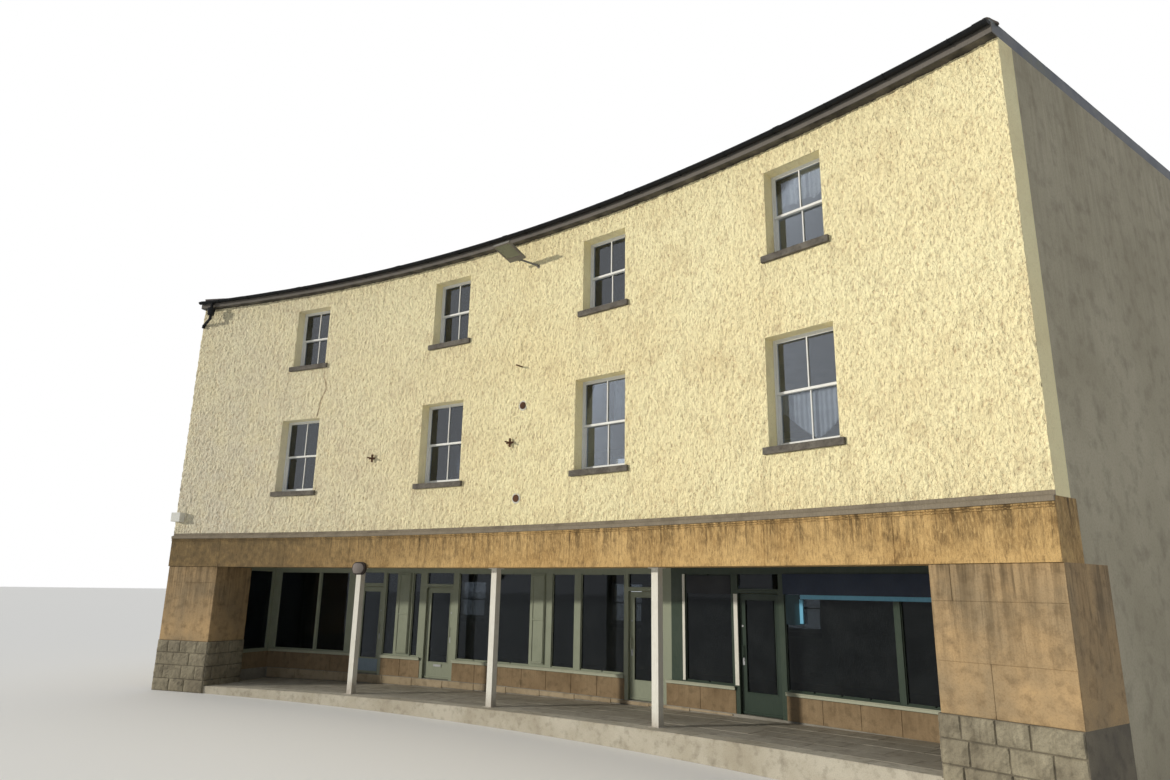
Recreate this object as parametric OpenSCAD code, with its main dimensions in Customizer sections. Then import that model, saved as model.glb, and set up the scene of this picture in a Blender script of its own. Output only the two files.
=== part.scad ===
// Three-storey corner shop building with a concave curved street front,
// an open arcade on three posts and shops set back behind it.
// The street side faces -Y, X runs along the front from left to right.
// Places along the front are arc lengths s on the street face, from its left end,
// and off is the distance behind that face.

/* [Plan] */
// Radius of the concave street face
face_r = 30600; // [26000:100:40000]
// Length of the street face along its curve
front_len = 18600; // [17800:50:19400]
// Depth from the street face to the rear face
depth = 7800; // [6800:50:9500]
// Thickness of the front and rear walls
wall_t = 350; // [340:5:420]
// Thickness of the two party walls
party_t = 300; // [200:10:360]

/* [Storeys] */
// Paving of the arcade above the lowest ground, at its left end
paving_z = 120; // [90:5:160]
// Fall of the arcade paving along the front, in percent
paving_fall = 1.65; // [0.5:0.05:1.8]
// Top of the level shop floor
shop_floor_z = 390; // [340:5:420]
// Underside of the stone fascia over the arcade
fascia_z = 2746; // [2650:2:2860]
// Height of the stone fascia
fascia_h = 700; // [600:10:760]
// Ceiling of the arcade
soffit_z = 2870; // [2800:5:2960]
// Thickness of a floor
floor_t = 240; // [180:5:280]
// Top of the first floor
first_floor_z = 3460; // [3440:5:3560]
// Top of the second floor
second_floor_z = 6500; // [6400:10:6700]
// Top of the outer walls, under the eaves
wall_top_z = 9137; // [9050:5:9400]

/* [Upper windows] */
// Sill height of the first-floor windows
first_sill_z = 4416; // [4300:4:4600]
// Height of the first-floor windows
first_win_h = 1660; // [1400:20:1800]
// Width of the first-floor windows
first_win_w = 1130; // [900:10:1250]
// Sill height of the second-floor windows
second_sill_z = 7362; // [7250:2:7450]
// Height of the second-floor windows
second_win_h = 1404; // [1200:4:1500]
// Width of the second-floor windows
second_win_w = 980; // [800:10:1150]
// Sill height of the rear wall's ground-floor windows
rear_sill_z = 1500; // [1400:10:1700]
// Height of those windows
rear_win_h = 1100; // [900:10:1300]
// Depth of the window reveals
reveal = 200; // [150:5:220]
// Depth of a window frame
sash_frame_d = 100; // [90:5:110]
// Width of a window frame's members that shows beside the sashes
sash_frame_w = 20; // [15:1:40]
// Width of a sash's stiles and rails
sash_w = 38; // [32:1:50]
// Height of the rail at the foot of a lower sash
sash_foot_h = 70; // [50:5:90]
// Thickness of one sash
sash_t = 40; // [30:1:45]
// Width of a glazing bar
bar_w = 18; // [14:1:26]
// Thickness of the window glass
pane_t = 6; // [4:1:10]
// Height of a window sill
sill_h = 100; // [70:5:130]
// Projection of a sill from the wall face
sill_proud = 65; // [40:5:90]
// Length of a sill past each side of its window
sill_horn = 80; // [60:5:120]

/* [Arcade] */
// Width of the left pier along the front
pier_left_w = 1440; // [1300:10:1600]
// Width of the right pier along the front
pier_right_w = 1500; // [1300:10:1600]
// Depth of both piers
pier_d = 1070; // [900:10:1200]
// Height of the piers' rock-faced base above the lowest ground
pier_base_h = 1090; // [950:10:1150]
// Projection of that base from the pier faces
pier_base_proud = 25; // [10:5:40]
// Side of a square arcade post
post_w = 130; // [100:5:160]
// Place of the posts' middle behind the street face
post_off = 330; // [250:5:360]
// Side of a post's foot plate and head plate
post_plate_w = 210; // [170:5:240]
// Thickness of those plates
post_plate_t = 15; // [8:1:25]
// Distance between the posts' middles
post_pitch = 3610; // [3400:5:4000]
// Place of the middle post from the middle of the front
post_shift = -360; // [-600:5:600]
// Projection of the stone fascia from the wall face
fascia_proud = 40; // [20:5:80]
// Depth of the stone fascia behind the wall face
fascia_d = 480; // [450:5:520]
// Height of the lead flashing at the fascia's top
flashing_h = 60; // [40:5:90]
// Projection of the flashing beyond the fascia
flashing_proud = 30; // [15:5:50]
// Thickness of the arcade ceiling's lining and of the sign band
lining_t = 30; // [20:5:40]

/* [Shopfront] */
// Distance of the shopfronts behind the street face
shop_off = 2130; // [2000:10:2300]
// Distance of the shopfront's ends from the building's ends
shop_end_w = 1175; // [1050:5:1250]
// Depth of the shopfront frames
shop_frame_d = 100; // [80:5:120]
// Width of a shopfront post
shop_post_w = 90; // [70:5:110]
// Width of the corner posts at the shopfront's ends, along the front
shop_corner_w = 240; // [150:5:260]
// Height of the shopfront's rails
shop_rail_h = 80; // [60:5:100]
// Top of the stallriser under the shop windows
stall_z = 765; // [700:5:860]
// Underside of the shopfront's head rail
shop_head_z = 2690; // [2640:5:2700]
// Underside of the transoms over the doors
transom_z = 2365; // [2320:5:2450]
// Projection of the shopfront's sills and pilaster panels
shop_trim = 30; // [15:5:45]
// Thickness of the shop glass
shop_pane_t = 12; // [8:1:16]
// Height of the right shop's sign band
sign_h = 330; // [250:10:380]

/* [Doors] */
// Running gap round a door leaf
door_gap = 8; // [6:1:12]
// Thickness of a door leaf
door_t = 45; // [40:1:50]
// Width of a door's stiles and top rail
door_stile_w = 95; // [80:5:110]
// Height of a door's solid lower part
door_panel_h = 345; // [300:5:750]
// Radius of a hinge barrel
barrel_r = 8; // [6:1:10]
// Height of one hinge barrel half
barrel_h = 45; // [35:5:60]

/* [Roof and eaves] */
// Pitch of the roof, in degrees
roof_pitch = 19; // [15:0.5:21]
// Vertical thickness of the roof
roof_t = 170; // [120:10:200]
// Projection of the eaves board from the wall face
eaves_proud = 130; // [100:5:180]
// Thickness of the eaves boards
eaves_t = 20; // [15:1:30]
// Height of the upright eaves board
eaves_h = 150; // [120:5:180]
// Radius of the half-round gutters
gutter_r = 55; // [45:1:65]
// Thickness of the gutters
gutter_t = 5; // [4:1:8]
// Length of the collars that join the gutters' lengths
gutter_collar_w = 120; // [80:5:160]
// Radius of the gutter's outlet pipe
outlet_r = 34; // [28:1:38]
// Distance of that pipe from the left end
outlet_s = 390; // [300:10:550]
// Fall from the gutter to the end of the outlet's swan neck
outlet_drop = 510; // [450:10:700]

/* [Fittings] */
// Height of the floodlight's wall plate
lamp_z = 8560; // [8400:5:8700]
// Place of that plate from the middle of the front
lamp_shift = 690; // [500:10:1200]
// Length of the floodlight's head
lamp_l = 520; // [400:10:600]
// Width of the floodlight's head
lamp_w = 400; // [300:10:450]
// Thickness of the floodlight's head
lamp_t = 95; // [60:5:120]
// Reach of the floodlight's arm from the wall
lamp_reach = 280; // [150:10:320]
// Upward tilt of the floodlight's head, in degrees
lamp_tilt = 17; // [0:1:20]
// Width of the box on the left corner
box_w = 260; // [200:5:300]
// Depth of that box
box_d = 165; // [120:5:200]
// Height of that box
box_h = 210; // [160:5:260]
// Underside of that box
box_z = 3780; // [3600:5:4200]
// Place of the oval lamp at the fascia's foot, from the middle of the front
bulkhead_shift = -3640; // [-3900:10:-3300]
// Width of that lamp
bulkhead_w = 360; // [280:5:400]
// Height of that lamp
bulkhead_h = 260; // [200:5:300]

/* [Hidden] */

curve_fn = 720;
round_fn = 48;
// Overshoot of a cutting tool
e = 20;
// Bedding gap that a swept piece leaves on each side
bed = 0.1;

mid_r = face_r + depth / 2;
mid_s = front_len / 2;
shop_r = face_r + shop_off;
shop_back_r = shop_r + shop_frame_d;
rear_r = face_r + depth;
rear_in_r = rear_r - wall_t;
front_in_r = face_r + wall_t;
pier_r = face_r + pier_d;
fascia_top_z = fascia_z + fascia_h;
ceiling_t = floor_t / 2;
party_right_s = front_len - party_t;
pier_right_s = front_len - pier_right_w;

// Places along the front are set out from its middle
function from_mid(places) = [for (x = places) mid_s + x];
// Middle of each window, by storey, left to right
first_win_s = from_mid([-5835, -1700, 2275, 6165]);
second_win_s = from_mid([-5770, -1610, 2335, 6185]);
// Joints between the wall bays, halfway between the windows
bay_s = [0, for (i = [0:2]) (second_win_s[i] + second_win_s[i + 1]) / 2, front_len];
// Middle of each arcade post
post_s = from_mid([-post_pitch + post_shift, post_shift, post_pitch + post_shift]);

// Sills and heights of the rear windows, storey by storey
rear_sills = [rear_sill_z, first_sill_z, second_sill_z];
rear_heights = [rear_win_h, first_win_h, second_win_h];

// Glazed returns of the shopfront, from the piers' backs: the left end of each
return_s = [shop_end_w, front_len - shop_end_w - shop_post_w];
shop_ends = [return_s[0], return_s[1] + shop_post_w];
// Left edge of each door leaf from the front's middle, its width, and its hinge on the left
// (-1) or the right (1)
doors = [for (d = [[-5530, 650, -1], [-3640, 700, -1], [1390, 720, 1], [3630, 730, 1]])
    [mid_s + d[0], mid_s + d[0] + d[1], d[2]]];
// Shop windows, from s to s
windows_left = [[shop_ends[0] + shop_corner_w, mid_s - 6746], from_mid([-6686, -5860]),
    from_mid([-4790, -4475]), from_mid([-4030, -3830]), from_mid([-2780, -920]),
    from_mid([-384, 149]), from_mid([301, 1290])];
windows_right = [from_mid([2592, 3497]), from_mid([4463, 6220]),
    [mid_s + 6310, shop_ends[1] - shop_corner_w]];
// Where the left shops' frames end and the right shop's begin
shop_split_s = mid_s + 1335;
// Panelled pilasters between the shops, from s to s
pilasters = [from_mid([-4440, -4050]), from_mid([-894, -517])];

// Angle of a place along the front, clockwise from the middle
function turn(s) = (s - front_len / 2) / face_r * 180 / PI;
// Height of the arcade paving at a plan x
function paving_at(x) = paving_z + (x + face_r * sin(-turn(0))) * paving_fall / 100;
// Real width of a stretch of the shopfront
function shop_width(s0, s1) = 2 * shop_r * sin((turn(s1) - turn(s0)) / 2);

// A frame on the street face: x along it, y into the building
module at(s, off = 0, z = 0) {
    translate([0, -mid_r, z]) rotate([0, 0, -turn(s)]) translate([0, face_r + off, 0]) children();
}

// Sweep of an outline (radius, height) along the front's curve. A sweep that passes the
// middle is made in two halves that meet there, so that the curve's crown is exact.
module sweep(s0 = 0, s1 = front_len) translate([0, -mid_r, 0]) {
    if (s0 < front_len / 2 && front_len / 2 < s1) rotate([0, 0, 90]) {
        rotate_extrude(angle = -turn(s0), $fn = curve_fn) children();
        rotate_extrude(angle = -turn(s1), $fn = curve_fn) children();
    }
    else rotate([0, 0, 90 - turn(s1)])
        rotate_extrude(angle = turn(s1) - turn(s0), $fn = curve_fn) children();
}

// Part of a ring round the centre of the curve, between two places along the front, with
// the bedding gap taken off. Only its underside is exact.
module ring(r0, r1, z0, z1, s0 = 0, s1 = front_len)
    sweep(s0 + bed, s1 - bed) translate([r0 + bed, z0]) square([r1 - r0 - 2 * bed, z1 - z0 - bed]);
// The same as a cutting tool, larger by the gap
module ring_cut(r0, r1, z0, z1, s0, s1)
    sweep(s0 - bed, s1 + bed) translate([r0 - bed, z0 - bed])
        square([r1 - r0 + 2 * bed, z1 - z0 + 2 * bed]);

// All that lies above the sloping arcade paving
module above_paving() {
    x_end = front_len;
    translate([0, 2 * depth, 0]) rotate([90, 0, 0]) linear_extrude(4 * depth)
        polygon([[-x_end, paving_at(-x_end)], [x_end, paving_at(x_end)], [x_end, wall_top_z],
            [-x_end, wall_top_z]]);
}

// The ground slab under the shops reaches forward to the piers at both ends
module ground_floor_slab() color("lightgray") difference() {
    ring(pier_r, rear_in_r, 0, shop_floor_z, party_t, party_right_s);
    ring_cut(pier_r - e, shop_r, -e, shop_floor_z + e, return_s[0] + shop_post_w, return_s[1]);
}

module arcade_floor() color("silver") difference() {
    union() {
        ring(face_r, pier_r + e, 0, shop_floor_z * 2,
            pier_left_w + pier_base_proud, pier_right_s - pier_base_proud);
        ring(pier_r, shop_r, 0, shop_floor_z * 2, return_s[0] + shop_post_w, return_s[1]);
    }
    above_paving();
}

module pier_form(side, proud, z0, z1) {
    s0 = side == 0 ? 0 : pier_right_s - proud;
    s1 = side == 0 ? pier_left_w + proud : front_len;
    ring(face_r - proud, pier_r, z0, z1, s0, s1);
}
module pier_base_form(side) pier_form(side, pier_base_proud, 0, pier_base_h);
module pier_left() color("burlywood") pier_form(0, 0, pier_base_h, fascia_z);
module pier_right() color("burlywood") pier_form(1, 0, pier_base_h, fascia_z);
module pier_left_base() color("darkgray") pier_base_form(0);
module pier_right_base() color("darkgray") pier_base_form(1);

module arcade_posts() color("white") for (s = post_s) difference() {
    at(s, post_off) {
        translate([-post_w / 2, -post_w / 2, 0]) cube([post_w, post_w, fascia_z - bed]);
        foot_z = paving_at(face_r * sin(turn(s)));
        translate([-post_plate_w / 2, -post_plate_w / 2, 0])
            cube([post_plate_w, post_plate_w, foot_z + post_plate_t]);
        translate([-post_plate_w / 2, -post_plate_w / 2, fascia_z - bed - post_plate_t])
            cube([post_plate_w, post_plate_w, post_plate_t]);
    }
    below_paving();
}
module below_paving() difference() {
    ring_cut(face_r - e, shop_r, -e, wall_top_z - e, pier_left_w, pier_right_s);
    above_paving();
}

// Walls
module party_wall(s0, s1) sweep(s0 + bed, s1 - bed) polygon([
    [pier_r + bed, 0], [rear_in_r - bed, 0], [rear_in_r - bed, wall_top_z - bed],
    [front_in_r + bed, wall_top_z - bed], [front_in_r + bed, fascia_top_z],
    [face_r + fascia_d + bed, fascia_top_z], [face_r + fascia_d + bed, fascia_z],
    [pier_r + bed, fascia_z]]);
module party_wall_left() color("tan") party_wall(0, party_t);
module party_wall_right() color("tan") party_wall(party_right_s, front_len);

// Hole for a window with its sill, right through a wall from y0 to y1
module window_hole(w, h, y0, y1) {
    translate([-w / 2, y0, -sill_h]) cube([w, y1 - y0, h + sill_h]);
}

module front_wall_bay(i) color("khaki") difference() {
    ring(face_r, front_in_r, fascia_top_z, wall_top_z, bay_s[i], bay_s[i + 1]);
    at(first_win_s[i], 0, first_sill_z) window_hole(first_win_w, first_win_h, -e, wall_t + e);
    at(second_win_s[i], 0, second_sill_z) window_hole(second_win_w, second_win_h, -e, wall_t + e);
}
module front_wall_bay_1() front_wall_bay(0);
module front_wall_bay_2() front_wall_bay(1);
module front_wall_bay_3() front_wall_bay(2);
module front_wall_bay_4() front_wall_bay(3);

module rear_wall_bay(i) color("khaki") difference() {
    ring(rear_in_r, rear_r, 0, wall_top_z, bay_s[i], bay_s[i + 1]);
    for (k = [0:2])
        at(second_win_s[i], depth - wall_t, rear_sills[k])
            window_hole(second_win_w, rear_heights[k], -4 * e, wall_t + e);
}
module rear_wall_bay_1() rear_wall_bay(0);
module rear_wall_bay_2() rear_wall_bay(1);
module rear_wall_bay_3() rear_wall_bay(2);
module rear_wall_bay_4() rear_wall_bay(3);

// Stone fascia and arcade ceiling
module stone_fascia() color("peru")
    ring(face_r - fascia_proud, face_r + fascia_d, fascia_z, fascia_top_z);
// Lead over the fascia's top, with an upstand against the render
lead_t = 8;
module fascia_flashing() color("slategray") {
    edge_r = face_r - fascia_proud - bed;
    drip_r = edge_r - flashing_proud;
    sweep() polygon([[edge_r, fascia_top_z], [face_r - bed, fascia_top_z],
        [face_r - bed, fascia_top_z + flashing_h], [face_r - lead_t, fascia_top_z + flashing_h],
        [face_r - lead_t, fascia_top_z + 2 * lead_t], [drip_r, fascia_top_z - lead_t],
        [drip_r, fascia_top_z - flashing_h], [edge_r, fascia_top_z - flashing_h]]);
}
module arcade_soffit() color("beige") {
    ring(face_r + fascia_d, shop_r, soffit_z, soffit_z + lining_t, party_t, party_right_s);
}

// Floors
module storey_floor(z, r0) ring(r0, rear_in_r, z - floor_t, z, party_t, party_right_s);
module first_floor() color("burlywood") storey_floor(first_floor_z, face_r + fascia_d);
module second_floor() color("burlywood") storey_floor(second_floor_z, front_in_r);
module top_ceiling() color("white")
    ring(front_in_r, rear_in_r, wall_top_z - ceiling_t, wall_top_z, party_t, party_right_s);

// Roof: the same profile front and rear, cut by a hip plane at each end
eaves_off = -eaves_proud - eaves_t;
roof_edge_off = eaves_off - eaves_t;
roof_edge_z = wall_top_z + eaves_h;
ridge_z = roof_edge_z + eaves_t + (depth / 2 - roof_edge_off) * tan(roof_pitch);
function mirror_off(points) = [for (i = [len(points) - 1:-1:0]) [depth - points[i][0], points[i][1]]];
roof_half = [[0, wall_top_z], [0, wall_top_z + eaves_t], [-eaves_proud, wall_top_z + eaves_t],
    [-eaves_proud, roof_edge_z], [roof_edge_off, roof_edge_z], [roof_edge_off, roof_edge_z + eaves_t],
    [depth / 2, ridge_z]];
attic_half = [[wall_t, wall_top_z - e], [wall_t, ridge_z - roof_t - (depth / 2 - wall_t) * tan(roof_pitch)],
    [depth / 2, ridge_z - roof_t]];
module roof_body(points, s0, s1) {
    outline = concat(points, [for (i = [1:len(points) - 1]) mirror_off(points)[i]]);
    sweep(s0, s1) translate([face_r, 0]) polygon(outline);
}
// Half-space under the hip plane that rises from one end wall
module under_hip(side, drop) {
    run = (ridge_z - roof_edge_z) / tan(roof_pitch);
    reach = 2 * front_len;
    at(side == 0 ? 0 : front_len, 3 * depth) mirror([side, 0, 0]) rotate([90, 0, 0])
        linear_extrude(6 * depth)
            polygon([[-e, 0], [-e, roof_edge_z + eaves_t - drop],
                [0, roof_edge_z + eaves_t - drop], [run, ridge_z + eaves_t - drop],
                [reach, ridge_z + eaves_t - drop], [reach, 0]]);
}
module roof() color("dimgray") difference() {
    intersection() {
        roof_body(roof_half, 0, front_len);
        under_hip(0, 0);
        under_hip(1, 0);
    }
    intersection() {
        roof_body(attic_half, party_t, party_right_s);
        under_hip(0, roof_t);
        under_hip(1, roof_t);
    }
}

// A flat board under the eaves with an upright board on its outer edge
module eaves_board(side) sweep() translate([side == 0 ? face_r : rear_r, 0]) mirror([1 - side, 0])
    polygon([[0, wall_top_z], [eaves_proud + eaves_t, wall_top_z],
        [eaves_proud + eaves_t, roof_edge_z], [eaves_proud, roof_edge_z],
        [eaves_proud, wall_top_z + eaves_t], [0, wall_top_z + eaves_t]]);
module eaves_boards() color("gray") for (side = [0, 1]) eaves_board(side);

// Half-round gutter on the eaves board, with a collar at each joint and a stop end
function half_round(r, n) = [for (i = [0:n]) [r * cos(180 + 180 * i / n), r * sin(180 + 180 * i / n)]];
function back_to_front(points) = [for (i = [len(points) - 1:-1:0]) points[i]];
module half_pipe(r, t, n = 14) polygon(concat(half_round(r, n), back_to_front(half_round(r - t, n))));
collars = 6;
module gutter(r_middle) {
    z = roof_edge_z - gutter_t;
    sweep(gutter_t, front_len - gutter_t) translate([r_middle, z]) half_pipe(gutter_r, gutter_t);
    for (i = [0:collars]) {
        s_mid = gutter_collar_w + i * (front_len - 2 * gutter_collar_w) / collars;
        sweep(s_mid - gutter_collar_w / 2, s_mid + gutter_collar_w / 2)
            translate([r_middle, z + gutter_t]) half_pipe(gutter_r + gutter_t, 2 * gutter_t - 1);
    }
    for (s = [0, front_len - gutter_collar_w / 4])
        sweep(s, s + gutter_collar_w / 4) translate([r_middle, z - 1]) polygon(half_round(gutter_r + 2, 14));
}
front_gutter_r = face_r + eaves_off - gutter_r - gutter_t;
module front_gutter() color("#202020") gutter(front_gutter_r);
module rear_gutter() color("#202020") gutter(rear_r - eaves_off + gutter_r + gutter_t);

// Outlet under the gutter's left end: a drop through a small hopper and a swan neck that
// comes back to the wall at the building's corner, with a socket at its end
hopper_r = 95;
hopper_h = 170;
hopper_under_eaves = 50;
socket_h = 65;
module gutter_outlet() color("#202020") at(outlet_s) {
    top = roof_edge_z - gutter_r - gutter_t - 0.3;
    front_y = front_gutter_r - face_r;
    socket_r = outlet_r + gutter_t;
    bends = [[0, front_y, top], [0, front_y, top - 0.8 * outlet_drop],
        [socket_r + gutter_t - outlet_s, seat_y(2 * outlet_s) - socket_r, top - outlet_drop]];
    for (i = [0, 1]) pipe_run(bends[i], bends[i + 1], outlet_r);
    for (i = [1, 2]) translate(bends[i]) sphere(r = outlet_r + gutter_t / 2, $fn = round_fn);
    translate([0, front_y, wall_top_z - hopper_under_eaves - hopper_h])
        cylinder(r1 = 0.8 * hopper_r, r2 = hopper_r, h = hopper_h, $fn = round_fn);
    translate(bends[2] - [0, 0, socket_h]) cylinder(r = socket_r, h = socket_h, $fn = round_fn);
}
module pipe_run(from, to, r) {
    run = to - from;
    translate(from) rotate([0, acos(run[2] / norm(run)), atan2(run[1], run[0])])
        cylinder(r = r, h = norm(run), $fn = round_fn);
}

// Sash windows: x across, y into the wall from its outer face, z up from the sill
module window_sill(w) {
    translate([-w / 2 - sill_horn, -sill_proud, -sill_h]) cube([w + 2 * sill_horn, sill_proud + e, sill_h]);
    translate([-w / 2, -sill_proud, -sill_h]) cube([w, sill_proud + wall_t - e, sill_h]);
}
module bar_frame(w, h, d, member, foot) difference() {
    translate([-w / 2, 0, 0]) cube([w, d, h]);
    translate([-w / 2 + member, -e, foot]) cube([w - 2 * member, d + 2 * e, h - foot - member]);
}
module sash_pair(w, h) {
    light_w = w - 2 * sash_frame_w;
    light_h = (h - 2 * sash_frame_w) / 2;
    translate([0, reveal, 0]) bar_frame(w, h, sash_frame_d, sash_frame_w, sash_frame_w);
    for (upper = [0, 1])
        translate([0, sash_y(upper), sash_frame_w + upper * (light_h - sash_w / 2)]) {
            bar_frame(light_w, light_h + sash_w / 2, sash_t, sash_w, foot_rail(upper));
            translate([-bar_w / 2, 0, foot_rail(upper)])
                cube([bar_w, (sash_t - pane_t) / 2, light_h - sash_w / 2 - foot_rail(upper)]);
        }
}
function foot_rail(upper) = upper == 1 ? sash_w : sash_foot_h;
function sash_y(upper) = reveal + (sash_frame_d - 2 * sash_t) / 2 + (1 - upper) * sash_t;
module sash_panes(w, h) {
    light_w = w - 2 * sash_frame_w - 2 * sash_w;
    light_h = (h - 2 * sash_frame_w) / 2;
    for (upper = [0, 1])
        translate([-light_w / 2, sash_y(upper) + (sash_t - pane_t) / 2,
            sash_frame_w + upper * (light_h - sash_w / 2) + foot_rail(upper)])
            cube([light_w, pane_t, light_h - sash_w / 2 - foot_rail(upper)]);
}

module each_front_window(storey) {
    for (i = [0:3]) {
        if (storey == 1) at(first_win_s[i], 0, first_sill_z) children();
        if (storey == 2) at(second_win_s[i], 0, second_sill_z) children();
    }
}
// On the rear wall the windows face away from the street
module each_rear_window(k) {
    for (i = [0:3])
        at(second_win_s[i], depth, rear_sills[k]) rotate([0, 0, 180]) children();
}
module front_window_sills() color("dimgray") difference() {
    union() {
        each_front_window(1) window_sill(first_win_w);
        each_front_window(2) window_sill(second_win_w);
    }
    for (i = [0:3]) front_wall_bay(i);
}
module front_window_sashes() color("white") {
    each_front_window(1) sash_pair(first_win_w, first_win_h);
    each_front_window(2) sash_pair(second_win_w, second_win_h);
}
module front_window_glass() color("lightblue", 0.4) {
    each_front_window(1) sash_panes(first_win_w, first_win_h);
    each_front_window(2) sash_panes(second_win_w, second_win_h);
}
module rear_window_sills() color("dimgray") difference() {
    for (k = [0:2]) each_rear_window(k) window_sill(second_win_w);
    for (i = [0:3]) rear_wall_bay(i);
}
module rear_window_sashes() color("white")
    for (k = [0:2]) each_rear_window(k) sash_pair(second_win_w, rear_heights[k]);
module rear_window_glass() color("lightblue", 0.4)
    for (k = [0:2]) each_rear_window(k) sash_panes(second_win_w, rear_heights[k]);

// Shopfront: a curved wall with a return to the pier at each end, cut into frames
jamb_w = 75;
module shop_wall(z0, z1, s0 = shop_ends[0], s1 = shop_ends[1]) difference() {
    ring(pier_r, shop_back_r, z0, z1, s0, s1);
    ring_cut(pier_r - e, shop_r, z0 - e, z1 + e,
        max(s0 - e, shop_ends[0] + shop_post_w), min(s1 + e, shop_ends[1] - shop_post_w));
}
module shop_cut(z0, z1, s0, s1) ring_cut(shop_r - shop_trim - e, shop_back_r + e, z0, z1, s0, s1);

// Stretches between the doorways' jambs, the outer ones past the ends
stall_runs = [for (i = [0:4]) [
    i == 0 ? shop_ends[0] - e : doors[i - 1][1] + door_gap + jamb_w,
    i == 4 ? shop_ends[1] + e : doors[i][0] - door_gap - jamb_w]];

module shop_frame(side, s0, s1, windows, door_list) {
    difference() {
        shop_wall(shop_floor_z, soffit_z, s0, s1);
        for (run = stall_runs)
            ring_cut(pier_r - e, shop_back_r + e, shop_floor_z - e, stall_z, run[0], run[1]);
        for (w = windows) shop_cut(stall_z + shop_rail_h, shop_head_z, w[0], w[1]);
        for (d = door_list) {
            shop_cut(shop_floor_z - e, transom_z, d[0] - door_gap, d[1] + door_gap);
            shop_cut(transom_z + shop_rail_h, shop_head_z, d[0] - door_gap, d[1] + door_gap);
        }
        ring_cut(return_light[0], return_light[1], stall_z + shop_rail_h, shop_head_z,
            return_s[side] - e, return_s[side] + shop_post_w + e);
    }
    for (d = door_list) each_hinge(d) hinge_half(d, 0);
    for (run = stall_runs)
        shop_trim_ring(stall_z, stall_z + 0.8 * shop_rail_h, max(run[0], s0), min(run[1], s1));
    for (p = pilasters)
        if (s0 < p[0] && p[1] < s1) shop_trim_ring(stall_z + shop_rail_h * 1.5, shop_head_z, p[0], p[1]);
}
// Boards on the shopfront's street side, let into it
module shop_trim_ring(z0, z1, s0, s1) if (s1 - s0 > shop_post_w)
    ring(shop_r - shop_trim, shop_r + e, z0, z1,
        max(s0 + shop_trim, shop_ends[0] + shop_post_w + shop_trim),
        min(s1 - shop_trim, shop_ends[1] - shop_post_w - shop_trim));
// Edges of the light in a return
return_light = [pier_r + shop_post_w, shop_r - shop_post_w];
module shopfront_left() color("darkseagreen")
    shop_frame(0, shop_ends[0], shop_split_s, windows_left, [doors[0], doors[1]]);
module shopfront_right() color("darkolivegreen")
    shop_frame(1, shop_split_s, shop_ends[1], windows_right, [doors[2], doors[3]]);

// Boarding between the frames and the floor above, over the arcade ceiling's lining
module shopfront_head() color("gainsboro") difference() {
    shop_wall(soffit_z, first_floor_z - floor_t);
    ring_cut(pier_r - e, shop_r, soffit_z - e, soffit_z + lining_t, shop_ends[0] - e, shop_ends[1] + e);
}

// Stallrisers stand on the slab between the doorways
module stallrisers() color("tan") difference() {
    shop_wall(shop_floor_z, stall_z);
    for (d = doors)
        shop_cut(shop_floor_z - e, stall_z + e, d[0] - door_gap - jamb_w, d[1] + door_gap + jamb_w);
}

// Shop glass fills each light in the middle of the frame
module shop_glass() color("lightblue", 0.4) {
    pane_r = shop_r + (shop_frame_d - shop_pane_t) / 2;
    for (w = concat(windows_left, windows_right))
        ring(pane_r, pane_r + shop_pane_t, stall_z + shop_rail_h, shop_head_z, w[0], w[1]);
    for (d = doors)
        ring(pane_r, pane_r + shop_pane_t, transom_z + shop_rail_h, shop_head_z,
            d[0] - door_gap, d[1] + door_gap);
    for (side = [0, 1]) {
        pane_s = return_s[side] + (shop_post_w - shop_pane_t) / 2;
        ring(return_light[0], return_light[1], stall_z + shop_rail_h, shop_head_z,
            pane_s, pane_s + shop_pane_t);
    }
}
module sign_band() color("darkcyan")
    ring(shop_r - lining_t, shop_r, shop_head_z - sign_h, shop_head_z,
        windows_right[1][0], windows_right[2][1]);

// Doors: a leaf's own frame has x across it, y into the shop and z up from the floor
hinge_end = 200;
hinge_flap_w = 25;
hinge_seat = 4;
hinge_play = 0.3;
letter_plate = [250, 8, 80];
pull_z = 1000;
pull_h = 220;
pull_r = 11;
pull_reach = 35;
pull_fixing_r = 8;
function leaf_w(d) = shop_width(d[0], d[1]);
function leaf_h() = transom_z - shop_floor_z - 2 * door_gap;
module at_door(d) at((d[0] + d[1]) / 2, shop_off, shop_floor_z + door_gap) children();
module each_hinge(d) for (z = [hinge_end, leaf_h() - hinge_end])
    at_door(d) translate([d[2] * (leaf_w(d) + door_gap) / 2, shop_frame_d + barrel_r, z]) children();
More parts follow.
